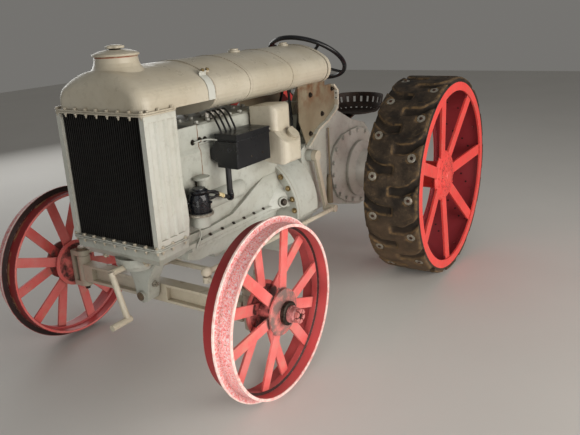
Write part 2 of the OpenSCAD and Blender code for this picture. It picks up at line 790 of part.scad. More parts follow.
// A long swelling along the left side of the block, over the shaft that drives the timer
module side_bulge(x0, x1) {
    translate([x0, block_w / 2 - 4, shaft_z - 24]) rotate([0, 90, 0]) rotate_extrude() polygon([
        [0, 0], [bulge_r * 0.5, 3], [bulge_r * 0.8, 12], [bulge_r, 36], [bulge_r, x1 - x0], [0, x1 - x0]
    ]);
}

bulge_r = 44;
bulge_rear = block_front - 290;
timer_low = 728;
breather_x = wheelbase - 112;

module about_crankshaft() {
    translate([0, 0, clutch_z]) rotate([0, 90, 0]) rotate_extrude($fn = 96) children();
}

// The clutch housing is flat underneath and drawn in where the drag link passes
module bell_outline() {
    half = [[320, clutch_z - 18], [258, clutch_z - 42], [225, clutch_z - 100], [170, clutch_z - 220]];
    polygon(concat(
        [[-320, clutch_z + 320], [320, clutch_z + 320]], half,
        [for (i = [len(half) - 1 : -1 : 0]) [-half[i][0], half[i][1]]]
    ));
}

module engine_block() {
    color(engine_grey) from_rear_axle() {
        along_x(block_rear, block_front) block_outline(head_low);
        intersection() {
            along_x(block_rear, block_front) case_low_outline();
            along_y(-case_w, case_w) case_side_outline(block_front);
        }
        side_bulge(bulge_rear, block_front);
        intersection() {
            about_crankshaft() polygon([
                [0, block_rear], [bell_flange_r, block_rear], [bell_flange_r, block_rear + 20], [0, block_rear + 20]
            ]);
            along_x(block_rear - 1, block_rear + 21) bell_outline();
        }
        intersection() {
            about_crankshaft() polygon([
                [0, block_rear + 10], [bell_flange_r - 34, block_rear + 10], [bell_flange_r - 52, block_rear + 40],
                [case_w / 2, block_rear + 120], [0, block_rear + 120]
            ]);
            block([block_rear + 5, -bell_flange_r, pan_z + seat_gap], [block_rear + 130, bell_flange_r, head_low]);
        }
    }
}

module cylinder_head() {
    b = block_w / 2;
    color(engine_grey) from_rear_axle() along_x(block_rear + 60, block_front - 1) polygon([
        [-b, head_low + seat_gap], [b, head_low + seat_gap], [b, head_z - 22], [b - 6, head_z - 7], [b - 22, head_z],
        [-b + 22, head_z], [-b + 6, head_z - 7], [-b, head_z - 22]
    ]);
}

module oil_pan() {
    c = case_w / 2;
    front = rad_back - 60;
    color(engine_grey) from_rear_axle() intersection() {
        along_x(block_rear + 22, front) polygon([
            [-c, pan_z - 16], [-c, pan_z], [c, pan_z], [c, pan_z - 16], [c - 24, pan_z - 24],
            [c - 55, pan_low + 36], [c - 95, pan_low], [-c + 95, pan_low], [-c + 55, pan_low + 36],
            [-c + 24, pan_z - 24]
        ]);
        along_y(-c, c) polygon([
            [block_rear, pan_z], [front, pan_z], [front, pan_low + 86], [front - 87, pan_low + 54],
            [front - 187, pan_low + 50], [front - 257, pan_low], [block_rear, pan_low]
        ]);
    }
}

// Each lead runs from its plug in the head over to the lid of the coil box
module spark_plug_leads() {
    color(black) from_rear_axle() for (i = [0 : 3]) {
        plug = [block_front - 365 + i * plug_pitch, 128, head_z + seat_gap];
        bend = [coil_x0 + 30 + i * plug_pitch / 2, 206, head_z + 12];
        translate(plug) cylinder(h = 26, r = 9, $fn = 24);
        rod(plug + [0, 0, 20], bend, 4);
        rod(bend, [bend[0], 236, coil_high + 8], 4.5);
        translate([bend[0], 236, coil_high + seat_gap]) cylinder(h = 12, r = 10);
    }
}

plug_pitch = 110;
coil_in_y = 216;
coil_out_y = 330;
coil_x0 = block_front - 305;
coil_x1 = coil_x0 + 242;
coil_low = 884;
coil_high = 1032;

module coil_box() {
    color(black) from_rear_axle() {
        block([coil_x0, coil_in_y, coil_low], [coil_x1, coil_out_y, coil_high - 26]);
        block([coil_x0 - 3, coil_in_y - 3, coil_high - 26], [coil_x1 + 3, coil_out_y + 3, coil_high]);
        along_x(coil_x1 - 0.01, coil_x1 + 6) polygon([
            [coil_in_y - 32, 920], [coil_in_y - 32, 960], [coil_in_y, 1000], [coil_out_y, 1000],
            [coil_out_y, coil_low], [coil_in_y + 60, coil_low]
        ]);
        for (x = [coil_x0 + 20, coil_x1 - 60])
            block([x, block_w / 2 + pad + seat_gap, 922], [x + 40, coil_in_y + 1, 966]);
        rod([coil_x1 - 14, coil_out_y - 70, 762], [coil_x1 - 14, coil_out_y - 70, coil_low + 2], 13);
    }
}

timer_at = [wheelbase - 40, case_w / 2 + 42];

// A bell on a plain ring, with four terminals round it
module timer() {
    color(black) from_rear_axle() translate([timer_at[0], timer_at[1], timer_low + seat_gap]) {
        rotate_extrude() polygon([
            [0, 0], [50, 0], [52, 3], [52, 11], [46, 14], [47, 40], [46, 66], [40, 86], [26, 100], [10, 105], [0, 105]
        ]);
        for (a = [-30, 15, 60, 105]) rotate([0, 0, a]) translate([0, 0, 52]) rotate([0, 90, 0]) cylinder(h = 56, r = 6);
    }
}

washer_front = block_front - 363;
washer_rear = washer_front - 158;
washer_out = 378;
washer_in = block_w / 2 + pad + seat_gap;

// A flat outline with a rounded corner at each point, whose radius is the point's third number
function rounded(points) = [
    for (i = [0 : len(points) - 1]) let (
        n = len(points),
        here = [points[i][0], points[i][1]],
        back = [points[(i + n - 1) % n][0], points[(i + n - 1) % n][1]],
        next = [points[(i + 1) % n][0], points[(i + 1) % n][1]],
        r = points[i][2],
        u = (back - here) / norm(back - here),
        v = (next - here) / norm(next - here),
        half = acos(max(-1, min(1, u * v))) / 2,
        way = (u + v) / norm(u + v),
        mid = here + way * r / sin(half),
        a0 = atan2(-(mid - here - u * r / tan(half))[1], -(mid - here - u * r / tan(half))[0]),
        a1 = atan2(-(mid - here - v * r / tan(half))[1], -(mid - here - v * r / tan(half))[0]),
        turn = (a1 - a0 + 540) % 360 - 180
    ) for (k = r > 0 ? [0 : 6] : [0]) r > 0 ? mid + r * [cos(a0 + turn * k / 6), sin(a0 + turn * k / 6)] : here
];

module air_washer() {
    color(cream) from_rear_axle() {
        intersection() {
            along_z(830, 1010) polygon(rounded([
                [washer_rear, washer_in, 0], [washer_front, washer_in, 0], [washer_front, washer_out, 40],
                [washer_rear, washer_out, 40]
            ]));
            along_x(washer_rear - 1, washer_front + 1) polygon(rounded([
                [washer_in - 1, 868, 0], [300, 842, 20], [washer_out + 1, 838, 22], [washer_out + 1, 938, 24],
                [318, 992, 16], [washer_in - 1, 992, 0]
            ]));
        }
        intersection() {
            along_z(980, 1120) polygon(rounded([
                [washer_rear + 10, washer_in, 0], [washer_front - 6, washer_in, 0], [washer_front - 6, 322, 30],
                [washer_rear + 10, 322, 30]
            ]));
            along_x(washer_rear, washer_front) polygon(rounded([
                [washer_in - 1, 970, 0], [323, 970, 0], [323, 1112, 34], [washer_in - 1, 1104, 0]
            ]));
        }
        translate([washer_rear + 62, 350, 962]) rotate([-42, 0, 0]) {
            cylinder(h = 14, r = 27);
            translate([0, 0, 14]) cylinder(h = 8, r = 31);
        }
    }
}

port_x = block_front - 445;
port_z = head_low - 60;

module manifold() {
    y = block_w / 2 + pad + seat_gap;
    color(steel) from_rear_axle() mirror([0, 1, 0]) {
        rod([port_x - 40, y + 34, port_z], [port_x + 438, y + 34, port_z], 29);
        for (i = [0 : 3]) let (x = port_x + i * 135) block([x - 26, y, port_z - 26], [x + 26, y + 30, port_z + 26]);
        block([port_x + 150, y + 20, port_z - 130], [port_x + 270, y + 100, port_z - 25]);
        rod([port_x + 210, y + 64, port_z - 230], [port_x + 210, y + 64, port_z - 129], 36);
    }
}

module exhaust_pipe() {
    y = -(block_w / 2 + pad + 34);
    color(steel) from_rear_axle() {
        rod([port_x - 70, y, port_z], [port_x - 40 - seat_gap, y, port_z], 26);
        rod([port_x - 68, y, port_z], [port_x - 94, -bell_flange_r - 41, port_z - 30], 23);
        rod([port_x - 94, -bell_flange_r - 41, port_z - 30], [port_x - 580, -bell_flange_r - 15, port_z - 290], 24);
    }
}

// Drive line

module transmission_case() {
    g = gear_w / 2;
    color(engine_grey) from_rear_axle() difference() {
        union() {
            intersection() {
                about_crankshaft() polygon([
                    [0, bell_rear], [bell_r - 8, bell_rear], [bell_r, bell_rear + 10], [bell_r - 5, block_rear - 32],
                    [bell_flange_r, block_rear - 28], [bell_flange_r, block_rear - seat_gap],
                    [0, block_rear - seat_gap]
                ]);
                along_x(bell_rear - 1, block_rear + 1) bell_outline();
            }
            along_y(-g + 1, g - 1) polygon([
                [gear_rear + 160, 421], [bell_rear + 2, 421], [bell_rear + 2, clutch_z + bell_r - 4],
                [gear_rear + 160, gear_top - 98]
            ]);
            along_x(gear_rear, gear_rear + 165) polygon([
                [-g + 22, 420], [g - 22, 420], [g, 470], [g, gear_top - 36], [g - 60, gear_top],
                [-g + 60, gear_top], [-g, gear_top - 36], [-g, 470]
            ]);
            both_sides() rod([drop_pivot[0], 60, drop_pivot[2]], [drop_pivot[0], drop_pivot[1] - 13, drop_pivot[2]], 32);
        }
        rod(drop_pivot - [0, drop_shaft_l + 4, 0], drop_pivot, drop_shaft_r + run_gap);
    }
}

module spade_outline() {
    polygon([
        [98, 819], [200, 806], [293, 757], [334, 698], [340, 598], [318, 520], [263, 444],
        [180, 400], [83, 366], [-30, 338], [-130, 350], [-190, 420], [-214, 520], [-214, 640],
        [-186, 730], [-110, 796], [0, 822]
    ]);
}

house_back = -230;
house_top = 830;

module rear_housing() {
    w = rear_w / 2;
    color(engine_grey) from_rear_axle() {
        along_y(-w, -w + 15) spade_outline();
        along_y(w - 15, w) spade_outline();
        along_y(-w + 14, w - 14) polygon([
            [gear_rear - seat_gap, gear_top - 6], [gear_rear - seat_gap, 424], [263, 400], [83, 350], [-30, 322],
            [-150, 330], [-214, 338], [house_back, 352], [house_back, 600], [-200, 740], [-120, house_top],
            [60, house_top + 50], [240, gear_top - 6]
        ]);
    }
}

module axle_housing() {
    y0 = rear_w / 2 + seat_gap;
    y1 = rear_face_y - rear_rim_w - 14;
    translate([0, 0, rear_hub_z]) rotate([-90, 0, 0]) rotate_extrude() polygon([
        [axle_shaft_r + run_gap, y0], [170, y0], [170, y0 + 18], [120, y0 + 40], [84, y0 + 130],
        [72, y1 - 60], [72, y1 - 34], [88, y1 - 28], [88, y1], [axle_shaft_r + run_gap, y1]
    ]);
}

module axle_housing_left() {
    color(engine_grey) from_rear_axle() axle_housing();
}

module axle_housing_right() {
    color(engine_grey) from_rear_axle() mirror([0, 1, 0]) axle_housing();
}

// Controls, seat and supports

// Two plates between the gear case and the tank, their lower and rear edges flanged
module tank_support() {
    edge = [[588, gear_top - 150], [484, gear_top - 78], [384, gear_top - 50], [266, gear_top + 8],
            [258, tank_z - 136], [306, tank_z - 96]];
    inner = [[316, tank_z - 104], [267, tank_z - 141], [275, gear_top + 14], [387, gear_top - 42],
             [488, gear_top - 70], [592, gear_top - 142]];
    y0 = gear_w / 2 + seat_gap;
    color(cream) from_rear_axle() both_sides() difference() {
        union() {
            along_y(y0, y0 + 6) polygon(concat(edge, [
                [380, tank_z - 96], [380, tank_z - 44], [660, tank_z - 44], [660, gear_top - 8]
            ]));
            along_y(y0 + 1, y0 + 28) polygon(concat(edge, inner));
        }
        translate([0, 0, tank_z]) {
            along_x(tank_rear - 4, 700) tank_section(seat_gap);
            along_x(300, tank_rear - 4) tank_section(2 + seat_gap);
        }
    }
}

seat_low = seat_z - 20;

// A leaf from the top of the housing back to the underside of the seat
module seat_spring() {
    low = house_top + seat_gap;
    top = seat_low - seat_gap;
    color(brown) from_rear_axle() along_y(-32, 32) polygon([
        [50, low + 170 * 50 / 180], [-115, low + 5 * 50 / 180], [-200, 820], [-290, top - 10], [-400, top - 10],
        [-400, top], [-286, top], [-200, 831], [-113, 843], [46, low + 58]
    ]);
}

// The pan: a shallow dish with a high back, cut down towards the front
module seat_pan() {
    t = seat_t;
    color(brown) from_rear_axle() translate([-seat_back, 0, seat_low]) difference() {
        rotate_extrude() polygon([
            [0, 0], [112, 0], [148, 12], [seat_r - 14, 42], [seat_r, 116], [seat_r - t, 116],
            [seat_r - 14 - t, 45], [145, 12 + t], [110, t], [0, t]
        ]);
        along_y(-300, 300) polygon([[-300, 116], [-120, 108], [60, 24], [300, 16], [300, 300], [-300, 300]]);
    }
}

module drawbar() {
    face = house_back - seat_gap;
    color(engine_grey) from_rear_axle() difference() {
        union() {
            block([face - 22, -70, hitch_z - 10], [face, 70, hitch_z + 110]);
            block([-340, -34, hitch_z + 6], [face - 21, 34, hitch_z + 30]);
            block([-340, -34, hitch_z + 62], [face - 21, 34, hitch_z + 86]);
        }
        translate([-306, 0, hitch_z - 40]) cylinder(h = 200, d = hitch_d);
    }
}

module gear_lever() {
    foot = [430, -90, gear_top + 14];
    knob = [330, -90, gear_top + 196];
    l = norm(knob - foot);
    color(black) from_rear_axle() {
        translate([foot[0], foot[1], gear_top + seat_gap]) rotate_extrude() polygon([
            [0, 0], [36, 0], [36, 10], [22, 26], [0, 26]
        ]);
        towards(foot, knob) rotate_extrude() polygon([
            [0, 0], [8, 0], [7, l - 14], [12, l - 12], [19, l - 3], [20, l + 6], [13, l + 17], [0, l + 20]
        ]);
    }
}

// A rod that runs down into a tapered housing on the side of the gear case
module brake_rod() {
    y = gear_w / 2 + 9;
    color(brown) from_rear_axle() {
        rod([366, y + 5, 880], [366, y + 5, 590], 5);
        translate([366, y + 2, 592]) cylinder(h = 14, r = 11);
        intersection() {
            translate([366, y, 440]) cylinder(h = 154, r1 = 21, r2 = 15);
            block([300, gear_w / 2 + seat_gap, 430], [420, gear_w, 600]);
        }
    }
}

module hand_crank() {
    color(cream) from_rear_axle() {
        rod([1702, 0, clutch_z - 4], [1862, 0, clutch_z - 4], crank_r);
        rod([1862, -6, clutch_z - 4], [1862, 58, clutch_z - 205], 13);
        rod([1846, 58, clutch_z - 205], [1950, 58, clutch_z - 205], crank_r);
    }
}

rod_spread = 326;
ball_x = wheelbase - 480;

// Two rods from the axle's rear face back to a ball and a block under the pan
module radius_rods() {
    face = wheelbase - beam_w / 2 - seat_gap;
    color(cream) from_rear_axle() {
        both_sides() {
            rod([face - 12, rod_spread, beam_z - 22], [ball_x + 10, 22, pan_low - 28], 14);
            block([face - 24, rod_spread - 22, beam_z - beam_h / 2], [face, rod_spread + 22, beam_z]);
        }
        translate([ball_x, 0, pan_low - 28]) sphere(r = 26);
        block([ball_x - 30, -40, pan_low - 26], [ball_x + 30, 40, pan_low - seat_gap]);
    }
}

fan_x = rad_back - 50;
fan_z = 960;

module fan_bracket() {
    color(engine_grey) from_rear_axle() {
        block([block_front + 20 + seat_gap, -40, 920], [block_front + 36, 40, 985]);
        rod([block_front + 30, 0, fan_z], [fan_x + 26, 0, fan_z], 12);
    }
}

// The fan turns on its own short shaft
module fan() {
    color(brown) from_rear_axle() translate([fan_x, 0, fan_z]) rotate([0, 90, 0]) difference() {
        union() {
            translate([0, 0, -26]) cylinder(h = 48, r = 32);
            for (i = [0 : 3]) rotate([0, 0, 45 + i * 90]) translate([26, -30, -3]) rotate([18, 0, 0]) cube([124, 60, 4]);
        }
        translate([0, 0, -40]) cylinder(h = 100, r = 12 + run_gap);
    }
}

radiator_top_tank();
radiator_cap();
radiator_core();
radiator_side_left();
radiator_side_right();
radiator_bottom_tank();
fuel_tank();
tank_rear_band();
engine_block();
cylinder_head();
oil_pan();
spark_plug_leads();
coil_box();
timer();
air_washer();
manifold();
exhaust_pipe();
transmission_case();
rear_housing();
axle_housing_left();
axle_housing_right();
tank_support();
steering_column();
seat_spring();
seat_pan();
drawbar();
gear_lever();
brake_rod();
hand_crank();
front_axle();
radius_rods();
fan_bracket();
knuckle_left();
knuckle_right();
front_wheel_left();
front_wheel_right();
rear_wheel_left();
rear_wheel_right();
rubber_band_left();
rubber_band_right();
tie_rod();
drag_link();
drop_arm();
steering_wheel();
fan();
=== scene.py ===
"""Looks of a vintage farm tractor: worn paint over castings, bolts, rubber tread, wiring and a pressed seat."""
import json
import math

import bpy
from mathutils import Matrix, Vector, noise


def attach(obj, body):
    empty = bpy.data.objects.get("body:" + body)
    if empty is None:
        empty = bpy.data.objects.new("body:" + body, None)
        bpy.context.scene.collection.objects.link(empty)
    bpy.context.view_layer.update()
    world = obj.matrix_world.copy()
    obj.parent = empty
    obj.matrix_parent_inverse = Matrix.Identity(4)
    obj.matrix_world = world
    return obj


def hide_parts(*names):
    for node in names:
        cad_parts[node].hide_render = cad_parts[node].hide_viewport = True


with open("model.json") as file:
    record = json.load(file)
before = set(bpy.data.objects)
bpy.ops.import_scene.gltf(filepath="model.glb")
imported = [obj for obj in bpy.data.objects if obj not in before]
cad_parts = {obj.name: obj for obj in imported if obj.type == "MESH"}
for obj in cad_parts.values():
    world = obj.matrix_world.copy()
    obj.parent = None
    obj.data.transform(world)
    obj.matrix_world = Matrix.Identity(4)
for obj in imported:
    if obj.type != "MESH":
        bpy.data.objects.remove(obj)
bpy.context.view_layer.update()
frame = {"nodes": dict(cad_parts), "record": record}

SCENE = bpy.context.scene
NODES = frame["nodes"]
SLOT_OF = {s["node"]: s["material_slot"] for s in frame["record"]["subparts"]}
MM = 0.001
# Lengths in millimetres: places count from the rear axle, the middle plane and the ground
AXLE_SHIFT = 707.65
WHEELBASE = 1600
FRONT_HUB_Z, FRONT_RIM_R, FRONT_FACE_Y = 381, 355.6, 678
REAR_HUB_Z, REAR_RIM_R, REAR_FACE_Y = 565.7, 533.4, 812
KINGPIN_Y, KINGPIN_TOP, KINGPIN_FOOT = 505, 459.5, 273.7
TANK_Z, TANK_SIDE_Y, STRAP_R = 1214, 165, 77.2
FLANGE_HIGH, FLANGE_LOW, HEAD_TOP, PAN_RIM = 1189, 654, 1080, 590
CLUTCH_Z, CLUTCH_BOLTS_R = 530, 284
TIMER_X, TIMER_Y = 1560, 247
COIL_BOX_FRONT, COIL_BOX_SIDE = 1382, 330
PLATE_Y = 192
SEAT_PLACE = (-355, 0, 852.2)
BRACKET_X, PIN_FACE_X, PIN_Z = 1676, 1725, 362
CAP_X, CAP_Z, NECK_Z = 1690, 1414.8, 1410.3
PLUG_X, PLUG_STEP, PLUG_Y = 1216, 36, 128
# Larger than any wheel, for red parts without a rim
NO_RIM = 900
X, Y, Z = Vector((1, 0, 0)), Vector((0, 1, 0)), Vector((0, 0, 1))
SIDES = (("left", 1), ("right", -1))


def at(x, y, z):
    """A place given in millimetres from the rear axle, brought to the shared frame."""
    return Vector((x - AXLE_SHIFT, y, z)) * MM


FRONT_HUB, REAR_HUB = at(WHEELBASE, 0, FRONT_HUB_Z), at(0, 0, REAR_HUB_Z)


# Materials


def tone(code):
    """An sRGB hex colour as Blender's linear colour."""
    parts = [int(code[i:i + 2], 16) / 255 for i in (1, 3, 5)]
    return tuple(c / 12.92 if c <= 0.04045 else ((c + 0.055) / 1.055) ** 2.4 for c in parts) + (1.0,)


def linked(source, target):
    target.id_data.links.new(source, target)


def add(kind, *inputs, tree=None, out=None, **settings):
    """Adds one shader node, fills its live inputs in order and gives the output named, or else the first live one.

    A socket is linked, a number or vector is set, a hex code becomes its colour, and None leaves an input as it is.
    """
    tree = tree or next(i for i in inputs if isinstance(i, bpy.types.NodeSocket)).id_data
    node = tree.nodes.new("ShaderNode" + kind)
    for name, value in settings.items():
        setattr(node, name, value)
    for socket, value in zip([s for s in node.inputs if s.enabled], inputs):
        if isinstance(value, bpy.types.NodeSocket):
            linked(value, socket)
        elif value is not None:
            socket.default_value = tone(value) if isinstance(value, str) else value
    return node.outputs[out] if out else [s for s in node.outputs if s.enabled][0]


def grains(place, size_mm, detail=4.0, roughness=0.55):
    """Noise whose features are about size_mm across."""
    return add("TexNoise", place, 1000 / size_mm, detail, roughness)


def cloud(place, grain, low, high, out_low=0.0, out_high=1.0):
    """A mask of noise patches: grain is their size in millimetres, then the noise's detail and roughness."""
    return add("MapRange", grains(place, *grain), low, high, out_low, out_high)


def over(colour, ink, *masks):
    """An ink laid over a colour where all the masks agree. A colour may be a hex code, a later mask a number."""
    mask = masks[0]
    for other in masks[1:]:
        mask = add("Math", mask, other, operation="MULTIPLY")
    return add("Mix", mask, colour, ink, data_type="RGBA")


def corner_shade_and_grime(place, reach_mm, low, high):
    """A mask of the corners and joints that ambient occlusion finds: what is laid there is painted shade, and in the
    old paints grease and dust as well.
    """
    shade = add("AmbientOcclusion", None, reach_mm * MM, tree=place.id_data, out="AO", samples=6)
    return add("MapRange", shade, high, low)


def edges(place, width_mm):
    """A mask of the outer edges, where paint is knocked off first."""
    smooth = add("Bevel", width_mm * MM, tree=place.id_data, samples=6)
    flat = add("NewGeometry", tree=place.id_data, out="Normal")
    return add("MapRange", add("VectorMath", smooth, flat, operation="DOT_PRODUCT"), 0.99, 0.82)


def surface(name):
    """A new material with its principled shader and the object's own coordinates."""
    material = bpy.data.materials.new(name)
    material.use_nodes = True
    tree = material.node_tree
    return material, tree.nodes["Principled BSDF"], add("TexCoord", tree=tree, out="Object")


def bumped(shader, height, depth_mm, round_mm=0.0):
    """Relief from a height, over edges that look rounded by round_mm where that isn't nought."""
    soft = add("Bevel", round_mm * MM, tree=shader.id_data, samples=4) if round_mm else None
    linked(add("Bump", 1.0, depth_mm * MM, None, height, soft), shader.inputs["Normal"])


def old_paint(name, coat, faded, grime_and_shade, bare, chipped=0.5, dirt_and_shade=0.7, rough=0.45, cast_mm=0.15, grain_mm=6.0,
              round_mm=2.5, marks=None):
    """Oil paint brushed on iron decades ago: mottled, dark in the corners with grease and painted shade, chipped to
    rust on the edges.
    """
    material, shader, place = surface(name)
    colour = over(coat, faded, cloud(place, (260, 5), 0.38, 0.66))
    colour = over(colour, grime_and_shade, cloud(place, (34, 8, 0.7), 0.52, 0.80, 0.0, 0.45 * dirt_and_shade))
    patchy = cloud(place, (55, 6), 0.30, 0.62, 0.25, 1.0)
    # Painted shade with grease: the grime colour laid in the corners and joints.
    colour = over(colour, grime_and_shade, corner_shade_and_grime(place, 45, 0.30, 0.92), patchy, dirt_and_shade)
    if marks:
        colour = marks(place, colour)
    flakes = cloud(place, (14, 8, 0.65), 0.50, 0.56)
    colour = over(colour, bare, edges(place, 3.0), flakes, chipped)
    colour = over(colour, bare, cloud(place, (9, 3, 0.5), 0.745, 0.765, 0.0, chipped))
    linked(colour, shader.inputs["Base Color"])
    linked(cloud(place, (80, 6), 0.3, 0.7, rough - 0.10, rough + 0.14), shader.inputs["Roughness"])
    bumped(shader, grains(place, grain_mm, 5), cast_mm, round_mm)
    return material


def seam(place, colour, ink, *limits, strength=0.85):
    """A rust line or stain inside the limits [axis, low, high], broken up by noise."""
    masks = [window(measured(place, axis), low, high, 0.8) for axis, low, high in limits]
    return over(colour, ink, cloud(place, (30, 6, 0.6), 0.32, 0.52, 0.15, strength), *masks)


def tank_marks(place, colour):
    """Rust under the filler's rim and dirt along the joints of the upper tank and the fuel tank, with painted shade on
    the upper tank's top behind the filler.
    """
    colour = seam(place, colour, "#8c4219", ("Z", 1382.0, 1386.6), ("X", 1600, 1815), strength=0.95)
    for x, strength in ((1385.2, 0.6), (1113.0, 0.25)):
        colour = seam(place, colour, "#6b5338", ("X", x - 1.6, x + 1.6), strength=strength)
    # Painted shade: the top of the upper tank behind the filler laid darker, as the light falls from the side.
    colour = over(colour, "#8e8472", near(place, at(1640, 60, 1345), 60, 60), 0.5)
    return over(colour, "#5b4a36", near(place, at(1180, 0, 1341), 46, 16), 0.6)


def casting_marks(place, colour):
    """Rust at the casting's front joint, oil at the pan's front and round the drain, a stain under the washer."""
    colour = seam(place, colour, "#8a5a34", ("X", 1443.0, 1447.5), ("Z", 640, 1082), strength=0.9)
    colour = seam(place, colour, "#9a7a56", ("X", 866.0, 868.6), strength=0.5)
    for x, y, z, reach, ink, amount in OIL_SPOTS:
        colour = over(colour, ink, near(place, at(x, y, z), reach), amount)
    return colour


def plate_shade_and_rust(place, colour):
    """Under the tank the plates are laid in a darker tan as painted shade, with rust high up, and only their outer edge
    keeps its cream.
    """
    outer = add("MapRange", from_middle(place), 0.1925, 0.1945, 1.0, 0.0)
    # Painted shade: darker tan in place of the cream under the tank.
    shade = over("#8a806b", "#766b56", cloud(place, (180, 4), 0.36, 0.66))
    high = add("MapRange", measured(place, "Z"), 0.99, 1.09)
    shade = over(shade, "#6b4a30", high, cloud(place, (60, 7, 0.6), 0.40, 0.62))
    return over(colour, shade, outer)


# Oil on the castings: where it is, how far it reaches, its colour and how thick it lies
OIL_SPOTS = (
    (1500, 190, 560, 95, "#4a3826", 0.85), (1560, 235, 668, 58, "#5c4228", 0.8), (916, 215, 590, 42, "#4d3c2a", 0.8),
    (1560, 60, 500, 120, "#57432e", 0.7), (1275, 195, 560, 34, "#5e4a33", 0.6), (1075, 195, 556, 40, "#5e4a33", 0.6),
    (1120, 40, 430, 110, "#4f3e2b", 0.7), (870, 225, 470, 80, "#5f4e38", 0.5), (640, 190, 440, 110, "#5a4a36", 0.6),
    (1700, 0, 540, 70, "#54402b", 0.7), (1690, 120, 560, 60, "#6a5236", 0.5))


def rusty(name, dark, light, rough=0.8, grain_mm=5.0, metal=0.25):
    """Bare steel left out for years: brown scale in patches over darker metal."""
    material, shader, place = surface(name)
    patches = cloud(place, (40, 8, 0.65), 0.36, 0.64)
    colour = over(dark, light, patches)
    # Painted shade: near black in the corners and joints.
    colour = over(colour, "#15100d", corner_shade_and_grime(place, 25, 0.35, 0.85))
    linked(colour, shader.inputs["Base Color"])
    shader.inputs["Roughness"].default_value = rough
    shader.inputs["Metallic"].default_value = metal
    bumped(shader, grains(place, grain_mm, 6), 0.6)
    return material


def from_axle(place, hub):
    """How far a point lies from a wheel's axle line, in metres."""
    moved = add("VectorMath", place, (hub.x, 0, hub.z), operation="SUBTRACT")
    return add("VectorMath", add("VectorMath", moved, (1, 0, 1), operation="MULTIPLY"), operation="LENGTH")


def from_middle(place):
    """How far a point lies from the tractor's middle plane, in metres."""
    return add("Math", add("SeparateXYZ", place, out="Y"), operation="ABSOLUTE")


def measured(place, axis):
    """A point's place along one axis, in metres from the rear axle."""
    value = add("SeparateXYZ", place, out=axis)
    return add("Math", value, AXLE_SHIFT * MM, operation="ADD") if axis == "X" else value


def near(place, spot, reach_mm, ragged_mm=18):
    """A blotch round a spot, with a ragged edge."""
    away = add("VectorMath", place, spot, operation="DISTANCE")
    ragged = add("Math", grains(place, ragged_mm, 6, 0.6), away, away, operation="MULTIPLY_ADD")
    return add("MapRange", ragged, -reach_mm * MM * 0.25, reach_mm * MM * 0.35, 1.0, 0.0)


def window(value, low_mm, high_mm, soft_mm=2.0):
    """One between two distances given in millimetres, nought outside them."""
    rise = add("MapRange", value, (low_mm - soft_mm) * MM, low_mm * MM)
    fall = add("MapRange", value, high_mm * MM, (high_mm + soft_mm) * MM, 1.0, 0.0)
    return add("Math", rise, fall, operation="MULTIPLY")


def worn_rim(place, colour, reach, aside, rim_r):
    """A bare rim: pale red worn to speckles outside the guide rib and lightened there as painted light; inside it dark
    red as the rib's painted shadow, with mud; painted shadow lines on the rib's inner flank and on the inner ring; a
    pale worn top on the rib with a painted highlight; metal at the hub.
    """

    def ring(low, high, soft=1.0):
        return window(reach, rim_r + low, rim_r + high, soft)

    def strip(low, high, soft=1.0):
        return window(aside, low, high, soft)

    skin = ring(-1.5, 30)
    outer_half = skin, add("MapRange", aside, 0.6105, 0.6115)
    belt = skin, strip(620, 668, 7.0)
    # Pale worn red outside the rib, lightened as painted light bounced from the floor.
    colour = over(colour, "#f2a09b", *outer_half)
    colour = over(colour, "#eadfe2", cloud(place, (5.5, 3, 0.6), 0.49, 0.56), *belt, 0.85)
    colour = over(colour, "#dd5a5f", cloud(place, (8, 4, 0.6), 0.52, 0.60), *belt, 0.75)
    colour = over(colour, "#a87f58", cloud(place, (10, 5, 0.6), 0.62, 0.68), *outer_half)
    # Painted shadow: dark red on the tread inside the rib, where the rib shades it.
    colour = over(colour, "#8e2729", skin, add("MapRange", aside, 0.6105, 0.6115, 1.0, 0.0))
    mud = cloud(place, (45, 6, 0.6), 0.46, 0.58)
    colour = over(colour, "#a98a62", mud, ring(-1.5, 4), strip(592, 607, 4.0), 0.75)
    # Painted shadow: near black on the rib's inner flank.
    colour = over(colour, "#1d1210", ring(-1.5, 23), strip(603.5, 609.8, 0.8))
    scuffed = cloud(place, (18, 6), 0.34, 0.58, 0.35, 1.0)
    colour = over(colour, "#f6d9d2", ring(-13, 3), strip(674.5, 679.5), scuffed)
    # Pale line on the rib's top: worn paint and a painted highlight.
    colour = over(colour, "#f8e6df", ring(21, 28, 2.0), strip(611, 622), scuffed)
    colour = over(colour, "#c04a4c", ring(-24, -11.6), add("MapRange", aside, 0.6740, 0.6745, 0.9, 0.0))
    # Painted shadow: a dark line on the inner ring's flank under its edge.
    colour = over(colour, "#2a0f0e", ring(-23, -11.5, 0.8), strip(628.5, 632.8, 0.6))
    nut = over("#cf8482", "#8f5a57", cloud(place, (26, 6, 0.6), 0.40, 0.60))
    colour = over(colour, nut, add("MapRange", aside, 0.700, 0.702), add("MapRange", reach, 0.062, 0.060))
    metal = over("#2b201f", "#76645f", add("MapRange", aside, 0.640, 0.645))
    hub_part = add("MapRange", reach, 0.100, 0.097), add("MapRange", aside, 0.700, 0.702, 1.0, 0.0)
    return over(colour, metal, *hub_part, cloud(place, (46, 7, 0.6), 0.44, 0.62, 0.95, 0.10))


